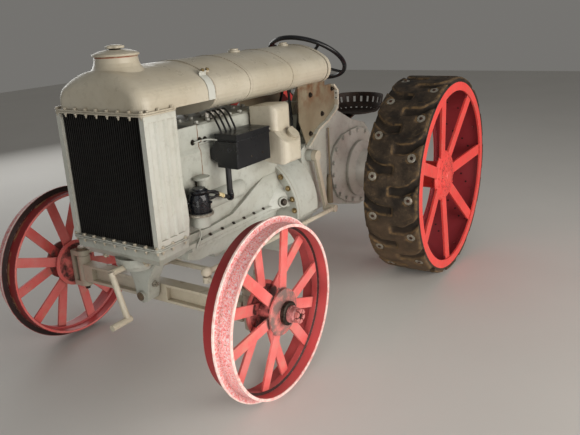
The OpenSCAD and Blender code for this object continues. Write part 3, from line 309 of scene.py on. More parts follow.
def banded_wheel(place, colour, reach, aside, rim_r):
    """A wheel under a rubber band: darker inside its rim as painted shade, its hub chipped to dark iron and bright
    steel.
    """
    inside = window(reach, rim_r - 60, rim_r + 6, 4.0)
    hub_face = add("MapRange", aside, 0.700, 0.705)
    # Painted shade: darker red on the rim's inner face.
    colour = over(colour, "#96323a", inside, window(aside, 512, 799, 2.0))
    chips = cloud(place, (11, 6, 0.65), 0.52, 0.58)
    colour = over(colour, "#7a2a26", chips, window(reach, 46, 100, 8.0), hub_face, 0.7)
    bright = cloud(place, (7, 5, 0.6), 0.66, 0.70, 0.0, 0.8)
    return over(colour, "#e9c9c0", bright, window(reach, 40, 110, 8.0), hub_face)


def red_enamel(name, hub, rim_r, coat, faded, bare_rim):
    """Red enamel on a steel wheel, chipped to pale primer along its edges and darkened in its corners with painted
    shade.
    """
    material, shader, place = surface(name)
    colour = over(coat, faded, cloud(place, (150, 5), 0.36, 0.66))
    dusty = cloud(place, (60, 6, 0.6), 0.50, 0.72, 0.0, 0.45)
    colour = over(colour, "#c99a86" if bare_rim else "#b96a58", dusty)
    worn = worn_rim if bare_rim else banded_wheel
    colour = worn(place, colour, from_axle(place, hub), from_middle(place), rim_r)
    # Painted shade: dark red in the corners and joints.
    colour = over(colour, "#54201c", corner_shade_and_grime(place, 30, 0.30, 0.90), 0.55)
    colour = over(colour, "#f0c0b8", edges(place, 2.5), cloud(place, (12, 8, 0.65), 0.50, 0.56), 0.7)
    colour = over(colour, "#5a2a22", cloud(place, (10, 3, 0.5), 0.74, 0.76, 0.0, 0.6))
    linked(colour, shader.inputs["Base Color"])
    linked(cloud(place, (70, 6), 0.3, 0.7, 0.36, 0.58), shader.inputs["Roughness"])
    bumped(shader, grains(place, 7, 6), 0.35, 2.0)
    return material


def dusty_rubber():
    """Hard old tyre rubber: near black, with brown dust on the lugs' flanks and dried mud on their tops, and painted
    shade in its corners and at the grooves' bottoms.
    """
    material, shader, place = surface("dusty_vulcanised_rubber")
    reach = from_axle(place, REAR_HUB)
    dusty = cloud(place, (90, 8, 0.62), 0.38, 0.66)
    colour = over("#241e18", "#4c3f31", dusty)
    scuffs = cloud(place, (22, 8, 0.7), 0.52, 0.66, 0.0, 0.8)
    colour = over(colour, "#6d5a45", scuffs, dusty)
    low = add("MapRange", measured(place, "Z"), 0.50, 0.20)
    earth = cloud(place, (70, 7, 0.6), 0.34, 0.60, 0.35, 0.85)
    colour = over(colour, "#6b553f", low, earth)
    # Painted shade: darker in the corners and joints.
    colour = over(colour, "#17130f", corner_shade_and_grime(place, 26, 0.40, 0.95), 0.70)
    # Painted shade: darker at the bottoms of the grooves between the lugs.
    colour = over(colour, "#1b1612", add("MapRange", reach, 0.552, 0.546, 0.0, 0.6))
    caked = cloud(place, (30, 6, 0.6), 0.38, 0.62, 0.0, 0.75)
    colour = over(colour, "#7d6443", caked, window(reach, 555, 561, 3.0))
    linked(colour, shader.inputs["Base Color"])
    shader.inputs["Roughness"].default_value = 0.82
    shader.inputs["Specular IOR Level"].default_value = 0.35
    bumped(shader, grains(place, 9, 8, 0.65), 1.4, 3.0)
    return material


def plated(name, bright, dull, rough, metal=0.85):
    """A turned fastener or plated part: bright metal dulled in patches."""
    material, shader, place = surface(name)
    colour = over(bright, dull, cloud(place, (9, 6, 0.65), 0.42, 0.62))
    # Painted shade: dark brown in the corners round the part.
    colour = over(colour, "#2a201a", corner_shade_and_grime(place, 6, 0.35, 0.85), 0.7)
    linked(colour, shader.inputs["Base Color"])
    shader.inputs["Metallic"].default_value = metal
    linked(cloud(place, (6, 4), 0.3, 0.7, rough - 0.08, rough + 0.15), shader.inputs["Roughness"])
    bumped(shader, grains(place, 2.5, 3), 0.12)
    return material


cream_paint = old_paint("worn_cream_enamel", "#cdc6b4", "#c0b7a2", "#6a5a43", "#7a4a2c", chipped=0.55, dirt_and_shade=0.55,
                        rough=0.33, cast_mm=0.10, grain_mm=9, marks=tank_marks)
# The panel and casting coats are tinted cooler than the cream: painted reflected light from the floor on the lower
# parts, over their own pale paint.
panel_paint = old_paint("pale_panel_enamel", "#d0d2ca", "#c7c8bd", "#7a6c55", "#8a5a34", chipped=0.6, dirt_and_shade=0.5,
                        rough=0.33, cast_mm=0.10, grain_mm=9)
casting_paint = old_paint("painted_iron_casting", "#c3c7bf", "#b3b5aa", "#574b3a", "#6f4a2c", chipped=0.6,
                          dirt_and_shade=0.85, rough=0.36, cast_mm=0.45, grain_mm=4, round_mm=5.0, marks=casting_marks)
plate_paint = old_paint("cream_edged_plate", "#cdc6b4", "#c0b7a2", "#6a5a43", "#7a4a2c", chipped=0.6, dirt_and_shade=0.7,
                        rough=0.45, marks=plate_shade_and_rust)
black_paint = old_paint("satin_black_enamel", "#121316", "#191a1e", "#2b2723", "#777b82", chipped=0.5, dirt_and_shade=0.3,
                        rough=0.30, cast_mm=0.08)
core_paint = old_paint("flat_black_core", "#0d0d0d", "#141413", "#241f1a", "#3a342c", chipped=0.3, dirt_and_shade=0.5, rough=0.6)
tan_paint = old_paint("dull_tan_paint", "#8d8168", "#7c7059", "#4a3f30", "#6b4a33", chipped=0.5, dirt_and_shade=0.6, rough=0.5)
rust_brown = rusty("rusted_steel", "#2b1d16", "#5a3826")
seat_brown = rusty("browned_pressed_steel", "#211711", "#3a281d", rough=0.55, metal=0.35)
front_red = red_enamel("faded_red_enamel", FRONT_HUB, FRONT_RIM_R, "#e4625e", "#e98480", True)
cap_red = red_enamel("dusty_red_enamel", FRONT_HUB, NO_RIM, "#d8827f", "#b56a66", False)
rear_red = red_enamel("bright_red_enamel", REAR_HUB, REAR_RIM_R, "#ee4e48", "#e4453f", False)
rubber = dusty_rubber()
zinc = plated("zinc_washer_steel", "#b9b4a8", "#8c8476", 0.42, 0.7)
brass = plated("tarnished_brass", "#b7a274", "#6f5f44", 0.40)
dark_steel = plated("oiled_dark_steel", "#4a443d", "#241e1a", 0.5)
brown_grease = rusty("greasy_brown_steel", "#4a3a2a", "#7b6a55", rough=0.5, metal=0.0)
porcelain = plated("glazed_porcelain", "#e9e6df", "#cfc9bd", 0.25, 0.0)
# Also laid on the flat discs that stand for holes, as painted shade.
insulation_and_hole_shade = plated("black_rubber_insulation_and_hole_shade", "#0e0e0f", "#1b1a1a", 0.42, 0.0)
black_gloss = plated("glossy_black_moulding", "#0b0c10", "#16181f", 0.24, 0.0)
cotton_tape = plated("yellowed_cotton_tape", "#d8cfae", "#b59a4e", 0.7, 0.0)
FINISHES = {"cream_paint": cream_paint, "grey_casting": casting_paint, "black_paint": black_paint,
            "rusty_steel": rust_brown, "band_rubber": rubber}


def dress(piece, material):
    """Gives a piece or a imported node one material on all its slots."""
    piece.data.materials.clear()
    piece.data.materials.append(material)


# Ways of shaping


def alone():
    """Nothing stays selected, so that the next operator acts on its own piece only."""
    if bpy.context.object and bpy.context.object.mode != "OBJECT":
        bpy.ops.object.mode_set(mode="OBJECT")
    bpy.ops.object.select_all(action="DESELECT")


def only(piece):
    alone()
    piece.select_set(True)
    bpy.context.view_layer.objects.active = piece


def smoothed(piece, degrees=32):
    only(piece)
    bpy.ops.object.mode_set(mode="EDIT")
    bpy.ops.mesh.select_all(action="SELECT")
    bpy.ops.mesh.normals_make_consistent(inside=False)
    bpy.ops.object.mode_set(mode="OBJECT")
    bpy.ops.object.shade_smooth_by_angle(angle=math.radians(degrees))
    return piece


def turned(profile, sides=20, degrees=32):
    """A lathe piece about Z: a disc drawn out and widened or narrowed from each [radius, height] to the next."""
    wide, high = profile[0]
    alone()
    bpy.ops.mesh.primitive_circle_add(vertices=sides, radius=wide * MM, fill_type="NGON")
    piece = bpy.context.active_object
    piece.data.transform(Matrix.Translation((0, 0, high * MM)))
    bpy.ops.object.mode_set(mode="EDIT")
    for r, z in profile[1:]:
        bpy.ops.mesh.extrude_region_move(TRANSFORM_OT_translate={"value": (0, 0, (z - high) * MM)})
        bpy.ops.transform.resize(value=(r / wide, r / wide, 1), center_override=(0, 0, z * MM))
        wide, high = r, z
    return smoothed(piece, degrees)


def cut_out(outline, thick, degrees=32):
    """A flat shape of [x, y] with a thickness along Z: a disc whose rim is pulled to the outline, then drawn up."""
    alone()
    bpy.ops.mesh.primitive_circle_add(vertices=len(outline), radius=1, fill_type="NGON")
    piece = bpy.context.active_object
    for vertex, (x, y) in zip(piece.data.vertices, outline):
        vertex.co = (x * MM, y * MM, 0)
    bpy.ops.object.mode_set(mode="EDIT")
    bpy.ops.mesh.extrude_region_move(TRANSFORM_OT_translate={"value": (0, 0, thick * MM)})
    return smoothed(piece, degrees)


def bevelled(piece, width, segments=2):
    only(piece)
    rounding = piece.modifiers.new("rounding", "BEVEL")
    rounding.width = width * MM
    rounding.segments = segments
    rounding.limit_method = "ANGLE"
    bpy.ops.object.modifier_apply(modifier="rounding")
    return smoothed(piece)


def joined(pieces):
    alone()
    for piece in pieces:
        piece.select_set(True)
    bpy.context.view_layer.objects.active = pieces[0]
    if len(pieces) > 1:
        bpy.ops.object.join()
    return pieces[0]


def aimed(place, way=Z, turn=0.0):
    """Stands a piece made along Z at a place, pointing along a direction."""
    heading = Vector(way).to_track_quat("Z", "Y").to_matrix().to_4x4()
    return Matrix.Translation(place) @ heading @ Matrix.Rotation(math.radians(turn), 4, "Z")


PATTERNS = []


def copied(pattern, places):
    """One copy of the pattern, with a mesh of its own, at each place, all joined."""
    if pattern not in PATTERNS:
        PATTERNS.append(pattern)
    made = []
    for place in places:
        copy = pattern.copy()
        copy.data = pattern.data.copy()
        copy.data.transform(place)
        SCENE.collection.objects.link(copy)
        made.append(copy)
    return joined(made)


def strung(places, radius, smooth=True, fine=2):
    """A wire, hose or pipe through the places, its ends closed."""
    curve = bpy.data.curves.new("run", "CURVE")
    curve.dimensions = "3D"
    curve.bevel_depth = radius * MM
    curve.bevel_resolution = fine
    curve.resolution_u = 6
    curve.use_fill_caps = True
    line = curve.splines.new("BEZIER")
    line.bezier_points.add(len(places) - 1)
    for knot, place in zip(line.bezier_points, places):
        knot.co = place
        knot.handle_left_type = knot.handle_right_type = "AUTO" if smooth else "VECTOR"
    run = bpy.data.objects.new("run", curve)
    SCENE.collection.objects.link(run)
    only(run)
    bpy.ops.object.convert(target="MESH")
    return smoothed(bpy.context.active_object, 50)


def kept(piece, name, material, body="chassis", stands_for=()):
    """Names a finished piece, paints it and puts it on its body."""
    piece.name = piece.data.name = name
    dress(piece, material)
    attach(piece, body)
    if stands_for:
        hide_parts(*stands_for)


def repeated(pattern, places, name, material, body="chassis"):
    """Copies of one pattern kept as a single piece."""
    kept(copied(pattern, places), name, material, body)


# Fasteners


def hex_head(across, high, washer=True):
    """A hexagon head with its corners turned off, on a round washer."""
    r = across / 2 / math.cos(math.radians(30))
    base = 1.8 if washer else 0.0
    head = turned([(r, base), (r, base + high * 0.78), (r * 0.82, base + high)], 6, 20)
    return joined([head, turned([(r * 1.35, 0), (r * 1.35, base)], 14)]) if washer else head


def dome_head(r, high):
    return turned([(r, 0), (r * 0.93, high * 0.45), (r * 0.66, high * 0.82), (r * 0.25, high)], 12, 60)


head_12, head_16 = hex_head(13, 7), hex_head(19, 10)
nut_low = hex_head(12, 7, washer=False)
rivet_7 = dome_head(7, 4)


def radiator_bolts():
    """Heads on both flanges and the screw ends under them."""
    across = [(1828, -180 + i * 60) for i in range(7)] + [(1822, s * 236) for s in (1, -1)]
    along = [(x, s * 245.5) for x in (1800, 1743, 1668) for s in (1, -1)]
    spots = across + along
    heads = [aimed(at(x, y, FLANGE_HIGH), Z, x * 7) for x, y in spots]
    heads += [aimed(at(x, y, FLANGE_LOW), Z, y) for x, y in spots]
    repeated(head_12, heads, "radiator_bolt_heads", cream_paint)
    end = turned([(6.9, 0), (6.9, 5.5), (4.2, 6.5), (4.0, 12), (1.2, 16)], 6, 20)
    ends = [aimed(at(x, y, FLANGE_HIGH - 14), -Z, y * 3) for x, y in across]
    ends += [aimed(at(x, y, FLANGE_LOW - 14), -Z, x) for x, y in spots]
    repeated(end, ends, "radiator_nuts", cream_paint)


def filler_cap():
    """A cast cap with rounded lobes round its edge, on a short dark neck."""
    lobes = []
    for i in range(96):
        a = 2 * math.pi * i / 96
        r = 36.0 + 2.6 * math.cos(6 * a)
        lobes.append((r * math.cos(a), r * math.sin(a)))
    grip = bevelled(cut_out(lobes, 10.5), 2.6, 3)
    crown = turned([(30, 10), (29, 12), (20, 13.6), (6, 14.3)], 40, 60)
    for piece in (grip, crown):
        piece.data.transform(Matrix.Translation(at(CAP_X, 0, CAP_Z)))
    kept(joined([grip, crown]), "filler_cap", cream_paint, stands_for=["radiator_cap"])
    neck = turned([(24, 0), (21, 5), (21, 6)], 32)
    neck.data.transform(Matrix.Translation(at(CAP_X, 0, NECK_Z)))
    kept(neck, "filler_cap_neck", dark_steel)


# An outline's [x, y] becomes [y, z], its thickness runs along X; or it becomes [x, z], with the thickness along Y
ACROSS = Matrix(((0, 0, 1, 0), (1, 0, 0, 0), (0, 1, 0, 0), (0, 0, 0, 1)))
ALONG = Matrix(((1, 0, 0, 0), (0, 0, 1, 0), (0, 1, 0, 0), (0, 0, 0, 1)))


def strip_outline(points, thick):
    """The outline of a strip of even thickness along a bent middle line."""
    outer, inner = [], []
    for i, (y, z) in enumerate(points):
        before, after = points[max(i - 1, 0)], points[min(i + 1, len(points) - 1)]
        along_strip = Vector((after[0] - before[0], after[1] - before[1])).normalized()
        side = Vector((-along_strip.y, along_strip.x)) * thick / 2
        outer.append((y + side.x, z + side.y))
        inner.append((y - side.x, z - side.y))
    return outer + inner[::-1]


def bent_strip(points, thick, x0, x1):
    """A strip of sheet whose [y, z] middle line is given, as wide as from x0 to x1."""
    piece = cut_out(strip_outline(points, thick), x1 - x0)
    piece.data.transform(Matrix.Translation(at(x0, 0, 0)) @ ACROSS)
    return smoothed(piece, 50)


def bent_edge(points, thick, y0, y1):
    """A flanged edge whose [x, z] middle line is given, as wide as from y0 to y1."""
    piece = cut_out(strip_outline(points, thick), y1 - y0)
    piece.data.transform(Matrix.Translation(at(0, y0, 0)) @ ALONG)
    return smoothed(piece, 50)


def tank_strap():
    """The strap over the seam of hood and tank on each side, and the ear that its bolts pull on."""
    for name, side in SIDES:
        around = [(TANK_SIDE_Y + STRAP_R * math.cos(math.radians(a)), TANK_Z + STRAP_R * math.sin(math.radians(a)))
                  for a in range(-4, 68, 6)]
        line = [(242.2, 1184), (242.2, 1198)] + around + [(198.5, 1291), (205, 1302)]
        strap = bent_strip([(y * side, z) for y, z in line], 2.6, 1391, 1434)
        # The strap takes the lighter, cooler panel paint beside the cream ear: painted reflected light.
        kept(bevelled(strap, 0.8), "hood_strap_" + name, panel_paint)
        ear = bent_strip([(y * side, z) for y, z in [(196, 1302), (197, 1292), (190, 1288.5)]], 3.2, 1366, 1390)
        kept(bevelled(ear, 0.8), "hood_ear_" + name, cream_paint)
        bolts = [aimed(at(1412, side * 200, 1302), (0, side * 0.35, 1), 12),
                 aimed(at(1376, side * 196, 1301.8), (0, side * 0.2, 1), 40)]
        repeated(head_12, bolts, "hood_strap_bolts_" + name, brass if side > 0 else dark_steel)


def engine_bolts():
    """Bolts of the pan with their nuts, of the head and of the clutch's flange."""
    pan_x = [1522, 1454, 1368, 1283, 1201, 1121, 1040]
    pan = [aimed(at(x, s * 197, PAN_RIM), Z, x) for x in pan_x for s in (1, -1)]
    pan_nuts = [aimed(at(x, s * 196, PAN_RIM - 33), -Z, x) for x in pan_x for s in (1, -1)]
    repeated(head_12, pan, "pan_bolts", dark_steel)
    repeated(nut_low, pan_nuts, "pan_nuts", casting_paint)
    top = [aimed(at(952 + i * 78, y, HEAD_TOP), Z, i * 13) for i in range(7) for y in (-146, -48, 50, 146)]
    repeated(head_16, top, "head_bolts", casting_paint)
    ring = []
    for a in (4, 16, 28, 42, 152, 164, 176, 138):
        y, z = CLUTCH_BOLTS_R * math.cos(math.radians(a)), CLUTCH_BOLTS_R * math.sin(math.radians(a))
        ring.append(aimed(at(888.5, y, CLUTCH_Z + z), X, a))
    repeated(head_16, ring, "clutch_flange_bolts", brass)


def engine_details():
    """The drain boss on the flare with its plug, a thin oil pipe and the small rod beside the head."""
    face = aimed(at(918, 236, 598), (0.45, 0.85, 0.22))
    boss = turned([(27, -12), (27, 3), (24, 7), (20, 8)], 28)
    boss.data.transform(face)
    kept(boss, "drain_boss", casting_paint)
    plug = hex_head(25, 12)
    plug.data.transform(face @ Matrix.Translation(Z * 7 * MM))
    kept(plug, "drain_plug", dark_steel)
    pipe = strung([at(1572, 224, 716), at(1570, 226, 690), at(1545, 216, 655), at(1530, 212, 625), at(1544, 213, 596),
                   at(1556, 208, 574), at(1556, 204, 560)], 4.2)
    kept(pipe, "oil_pipe", casting_paint)
    rod = strung([at(1383, 226, 1006), at(1402, 196, 1010), at(1440, 184, 1012), at(1486, 180, 1010)], 4.0)
    kept(rod, "lead_rail", casting_paint)
    nut = hex_head(16, 9)
    nuts = [aimed(at(x, 169.8, z), Y, x) for x, z in ((1402, 1010), (1436, 1013), (1482, 1010))]
    repeated(nut, nuts, "lead_rail_nuts", dark_steel)


def timer_details():
    """A bright ring under the timer's bell, its round cap, and four leads bound with tape into the coil box's tube."""
    ring = turned([(55, 0), (57, 3), (57, 9), (53, 13), (49, 14)], 48)
    ring.data.transform(Matrix.Translation(at(TIMER_X, TIMER_Y, 723)))
    kept(ring, "timer_ring", zinc)
    cap = turned([(40, 0), (41, 3), (39, 8), (30, 14), (29, 18), (12, 21)], 40)
    cap.data.transform(Matrix.Translation(at(TIMER_X, TIMER_Y, 822)))
    clips = []
    clip = bevelled(cut_out([(-7, 0), (7, 0), (7, 44), (0, 50), (-7, 44)], 4), 0.8)
    clip.data.transform(Matrix.Rotation(math.radians(90), 4, "X"))
    for a in (20, 140, 260):
        clips.append(Matrix.Translation(at(TIMER_X, TIMER_Y, 760)) @ Matrix.Rotation(math.radians(a), 4, "Z")
                     @ Matrix.Translation(Vector((0, -46, 0)) * MM))
    kept(joined([cap, copied(clip, clips)]), "timer_cap", black_gloss)
    elbow = strung([at(1368, 260, 782), at(1366, 262, 764), at(1374, 268, 752), at(1390, 271, 756)], 13.5, fine=3)
    kept(elbow, "lead_tube_elbow", black_gloss)
    runs, posts = [], []
    post = turned([(8, 0), (8, 9), (5, 11), (5, 15)], 12)
    for i, (a, z) in enumerate(((196, 812), (172, 800), (200, 786), (176, 772))):
        way = Vector((math.cos(math.radians(a)), -math.sin(math.radians(a)) * 0.9, 0))
        start = at(TIMER_X, TIMER_Y, z) + way * 47 * MM
        posts.append(aimed(start - way * 3 * MM, way))
        spread = (i - 1.5) * 4.2
        runs.append(strung([start + way * 8 * MM, start + way * 24 * MM + Y * 6 * MM,
                            at(1470, 268 + spread * 0.4, 792 - spread * 1.6), at(1425, 271, 771 - spread),
                            at(1386, 271, 756 - spread * 0.5)], 4.6))
    kept(joined(runs), "timer_leads", insulation_and_hole_shade)
    repeated(post, posts, "timer_posts", black_gloss)
    tape = strung([at(1462, 269, 788.5), at(1440, 270.5, 778.5), at(1431, 271, 774)], 11.0, fine=3)
    kept(tape, "lead_tape", cotton_tape)


def coil_box_details():
    """The lid's lower bead, a pressed ring and two screws on the box, its ear and two studs."""
    bead = strung([at(1138, 213.5, 1006), at(1385.6, 213.5, 1006), at(1385.6, 333.6, 1006), at(1136.6, 333.6, 1006)],
                  2.0, smooth=False)
    corner = strung([at(COIL_BOX_FRONT + 0.2, COIL_BOX_SIDE + 0.2, z) for z in (1003, 886)], 1.3, smooth=False)
    kept(joined([bead, corner]), "coil_box_bead", black_paint)
    ring = turned([(11.5, 0), (11.5, 1.6), (9.6, 2.6), (7.6, 1.6), (7.6, 0.4)], 28, 60)
    ring.data.transform(aimed(at(1387.9, 290, 966), X))
    kept(ring, "coil_box_ring", black_paint)
    screw = dome_head(6.0, 2.6)
    spots = [aimed(at(x, COIL_BOX_SIDE, 922), Y) for x in (1283, 1200)]
    repeated(screw, spots, "coil_box_screws", dark_steel)
    stud = hex_head(13, 8)
    studs = [aimed(at(1140, 326, 1018), (-0.3, 1, 0.2), 9), aimed(at(1362, 200, 941), X, 20)]
    repeated(stud, studs, "coil_box_studs", zinc)
    ear = cut_out([(-17, -10), (-10, -17), (10, -15), (30, 20), (30, 44), (-4, 20)], 4)
    ear.data.transform(Matrix.Translation(at(1360, 200, 941)) @ ACROSS)
    kept(bevelled(ear, 1.0), "coil_box_ear", black_paint)


PLATE_EDGE = [(600, 815), (540, 854), (487, 891), (437, 909), (385, 922), (330, 949), (290, 969), (272, 984),
              (264.5, 1003), (264.5, 1070), (272, 1084)]
PLATE_BOLTS = ((300, 1092), (420, 968), (552, 880), (540, 1086))


def plate_details():
    """The tank plates' pale turned edges with black discs as painted shade in their holes, their bolts, and two dark
    pipes down from the tank.
    """
    for name, side in SIDES:
        edge = bent_edge(PLATE_EDGE, 13, side * 190.5, side * 213.5)
        kept(edge, "plate_edge_" + name, panel_paint)
        # Painted shade: flat black discs in place of the holes' dark insides.
        hole = turned([(4.6, 0), (4.6, 0.9)], 14)
        holes = [aimed(at(270.6, side * 203, z), X) for z in (1062, 1036, 1010)]
        repeated(hole, holes, "plate_holes_" + name, insulation_and_hole_shade)
        bolts = [aimed(at(x, side * PLATE_Y, z), Y * side, x) for x, z in PLATE_BOLTS]
        repeated(head_16, bolts, "plate_bolts_" + name, dark_steel)
    wide = strung([at(548, 138, 1128), at(556, 138, 1040), at(584, 134, 900), at(602, 125, 828)], 13.0)
    thin = strung([at(640, 120, 1128), at(632, 121, 1050), at(624, 122, 960), at(634, 122, 828)], 7.5)
    kept(joined([wide, thin]), "fuel_pipes", black_paint)


def castle_nut(across, high):
    """A hexagon nut with a slotted crown round the end of its bolt."""
    r = across / 2 / math.cos(math.radians(30))
    body = turned([(r, 0), (r, high * 0.6), (r * 0.84, high * 0.68)], 6, 20)
    tooth = cut_out([(r * 0.34, -r * 0.22), (r * 0.80, -r * 0.26), (r * 0.80, r * 0.26), (r * 0.34, r * 0.22)],
                    high * 0.42)
    tooth.data.transform(Matrix.Translation(Z * high * 0.6 * MM))
    crown = copied(tooth, [Matrix.Rotation(math.radians(60 * i), 4, "Z") for i in range(6)])
    end = turned([(r * 0.34, high * 0.5), (r * 0.34, high * 0.95), (r * 0.2, high)], 12)
    return joined([body, crown, end])


def linkage_nuts():
    """Nuts and caps of the kingpins and tie rod arms, the end of the axle's pin and the lower tank's plugs."""
    nut = castle_nut(24, 20)
    for name, side in SIDES:
        cap = turned([(27, 0), (27.5, 3), (27.5, 9), (24, 12), (22, 12.5)], 32)
        cap.data.transform(Matrix.Translation(at(WHEELBASE, side * KINGPIN_Y, KINGPIN_TOP)))
        kept(cap, "kingpin_grease_cap_" + name, brown_grease, "steering_knuckle_" + name)
        below = [aimed(at(WHEELBASE, side * KINGPIN_Y, KINGPIN_FOOT), -Z, 10)]
        repeated(nut, below, "kingpin_nut_" + name, dark_steel, "steering_knuckle_" + name)
        ends = [aimed(at(1438, side * 433, 449.5), Z, 25)]
        repeated(nut, ends, "tie_arm_nut_" + name, dark_steel, "steering_knuckle_" + name)
    repeated(nut, [aimed(at(BRACKET_X, 41, 413), Y, 15)], "pin_lock_nut", zinc)
    pin = turned([(20, 0), (20, 1.5), (15, 2.5), (14, 5), (11, 6.5)], 32)
    pin.data.transform(aimed(at(PIN_FACE_X, 0, PIN_Z), X))
    kept(pin, "axle_pin_end", brown_grease)
    plugs = turned([(17, 0), (17, 4), (15, 5)], 20)
    square = turned([(11, 4), (11, 13), (9, 15)], 4, 20)
    pieces = joined([plugs, square])
    spots = [aimed(at(1776, s * 120, 560), (0.75, s * 0.3, -0.6), 45) for s in (1, -1)]
    repeated(pieces, spots, "lower_tank_plugs", cream_paint)


def hub_nuts():
    """The front hubs' slotted cap nuts, with a dark collar behind each."""
    tooth = cut_out([(13, -5.4), (27, -11.5), (29.5, 0), (27, 11.5), (13, 5.4)], 15)
    teeth = copied(tooth, [Matrix.Rotation(math.radians(60 * i + 30), 4, "Z") for i in range(6)])
    bevelled(teeth, 0.8)
    for name, side in SIDES:
        place = wheel_place(WHEELBASE, FRONT_FACE_Y, FRONT_HUB_Z, side)
        crown = copied(teeth, [place @ Matrix.Translation(Z * 58 * MM)])
        kept(crown, "hub_nut_crown_" + name, cap_red, "front_wheel_" + name)
        core = turned([(14, 57), (14, 66), (11, 68)], 20)
        core.data.transform(place)
        kept(core, "spindle_end_" + name, dark_steel, "front_wheel_" + name)
        collar = turned([(47, 4), (48.5, 8), (48.5, 20), (44, 24), (36, 25)], 48)
        collar.data.transform(place)
        kept(collar, "hub_collar_" + name, dark_steel, "front_wheel_" + name)


def spade_bolts():
    """Bolts round the spade-shaped plates on the rear housing."""
    rim = [(196, 788), (282, 736), (318, 664), (322, 592), (302, 520), (250, 458), (172, 416), (86, 384), (-20, 356),
           (-118, 368), (-172, 430), (-196, 524), (-196, 632), (-168, 716), (-98, 780), (8, 804), (104, 802)]
    spots = [aimed(at(x, s * 200, z), Y * s, x) for x, z in rim for s in (1, -1)]
    repeated(head_16, spots, "side_plate_bolts", casting_paint)


# Rear wheels

BAND_R0, BAND_R1, BAND_W = 533.9, 565.4, 305.0
LUGS = 16
GROOVE = 19.0
BOLT_ROWS = ((-50.0, 0.0), (-255.0, 0.5))


def soft_step(low, high, value):
    t = min(1.0, max(0.0, (value - low) / (high - low)))
    return t * t * (3 - 2 * t)


def cut_down(turn, across, phase):
    """How far a point lies below the lugs' tops: a groove slants in from the edge and runs level past the middle."""
    slant = 0.32 * (1 - (1 - min(across, 105) / 105) ** 2)
    ragged = noise.noise(Vector((math.cos(turn * 2 * math.pi) * 14, math.sin(turn * 2 * math.pi) * 14, across / 45)))
    away = abs((turn * LUGS - phase - slant + 0.035 * ragged) % 1.0 - 0.5)
    fades = 1 - soft_step(150, 172, across)
    crease = 2.2 * (1 - soft_step(0.0, 0.04, abs(away - 0.27))) * (1 - soft_step(70, 120, across))
    return (GROOVE * (1 - soft_step(0.075, 0.155, away)) + crease) * fades


def tread_radius(turn, z, side):
    deep = max(cut_down(turn * side, -z, 0.0), cut_down(turn * side, BAND_W + z, 0.5))
    spot = Vector((math.cos(turn * 2 * math.pi) * 9, math.sin(turn * 2 * math.pi) * 9, z / 60))
    worn = 1.5 * abs(noise.noise(spot)) + 0.9 * abs(noise.noise(spot * 3.1))
    shoulder = 9 * (1 - soft_step(-6, 22, min(-z, BAND_W + z)))
    r = BAND_R1 - 0.2 - deep - shoulder - worn
    for row, phase in BOLT_ROWS:
        step = (turn * LUGS - phase) % 1.0
        away = math.hypot(min(step, 1 - step) / LUGS * 2 * math.pi * BAND_R1, z - row)
        r = min(r, BAND_R1 - 8 + 9 * soft_step(26, 33, away))
    return max(r, BAND_R0 + 8)


def tread_band(name, side):
    """A ring drawn across the rim row by row, with its face moved in between the bars and round the bolts."""
    count = LUGS * 28
    rows = [-2, -8, -16] + [-24 - i * 8.25 for i in range(32)] + [-288, -296, -303]
    alone()
    bpy.ops.mesh.primitive_circle_add(vertices=count, radius=BAND_R0 * MM)
    band = bpy.context.active_object
    bpy.ops.object.mode_set(mode="EDIT")
    bpy.ops.mesh.select_all(action="SELECT")
    r, z = BAND_R0, 0.0
    side_r = BAND_R1 - GROOVE - 3
    outer = [(BAND_R1, row) for row in rows]
    for wide, high in [(side_r, 0.0)] + outer + [(side_r, -BAND_W), (BAND_R0, -BAND_W), (BAND_R0, 0.0)]:
        bpy.ops.mesh.extrude_edges_move(TRANSFORM_OT_translate={"value": (0, 0, (high - z) * MM)})
        bpy.ops.transform.resize(value=(wide / r, wide / r, 1), center_override=(0, 0, high * MM))
        r, z = wide, high
    bpy.ops.mesh.select_all(action="SELECT")
    bpy.ops.mesh.remove_doubles(threshold=0.00002)
    bpy.ops.object.mode_set(mode="OBJECT")
    for vertex in band.data.vertices:
        reach = math.hypot(vertex.co.x, vertex.co.y) / MM
        if reach > BAND_R1 - 2:
            turn = math.atan2(vertex.co.y, vertex.co.x) / (2 * math.pi)
            k = tread_radius(turn, vertex.co.z / MM, side) / reach
            vertex.co.x *= k
            vertex.co.y *= k
    band.data.transform(WHEEL[name, side])
    smoothed(band, 60)
    kept(band, "tread_band_" + name, rubber, "rear_wheel_" + name, ["rubber_band_" + name])


def wheel_place(x, y, z, side):
    """A wheel's own frame: its axle along Z and its outer face at nought."""
    return Matrix.Translation(at(x, y * side, z)) @ Matrix.Rotation(math.radians(-90 * side), 4, "X")


WHEEL = {}
for side_name, side_sign in SIDES:
    WHEEL[side_name, side_sign] = wheel_place(0, REAR_FACE_Y, REAR_HUB_Z, side_sign)


def ring_spot(place, r, turn, z, outward=True):
    """On a wheel: out along the radius, or along the axle where outward is False."""
    a = 2 * math.pi * turn
    way = Vector((math.cos(a), math.sin(a), 0)) if outward else Z
    return place @ aimed(Vector((r * math.cos(a), r * math.sin(a), z)) * MM, way)


TURNED_OVER = Matrix.Rotation(math.pi, 4, "X")


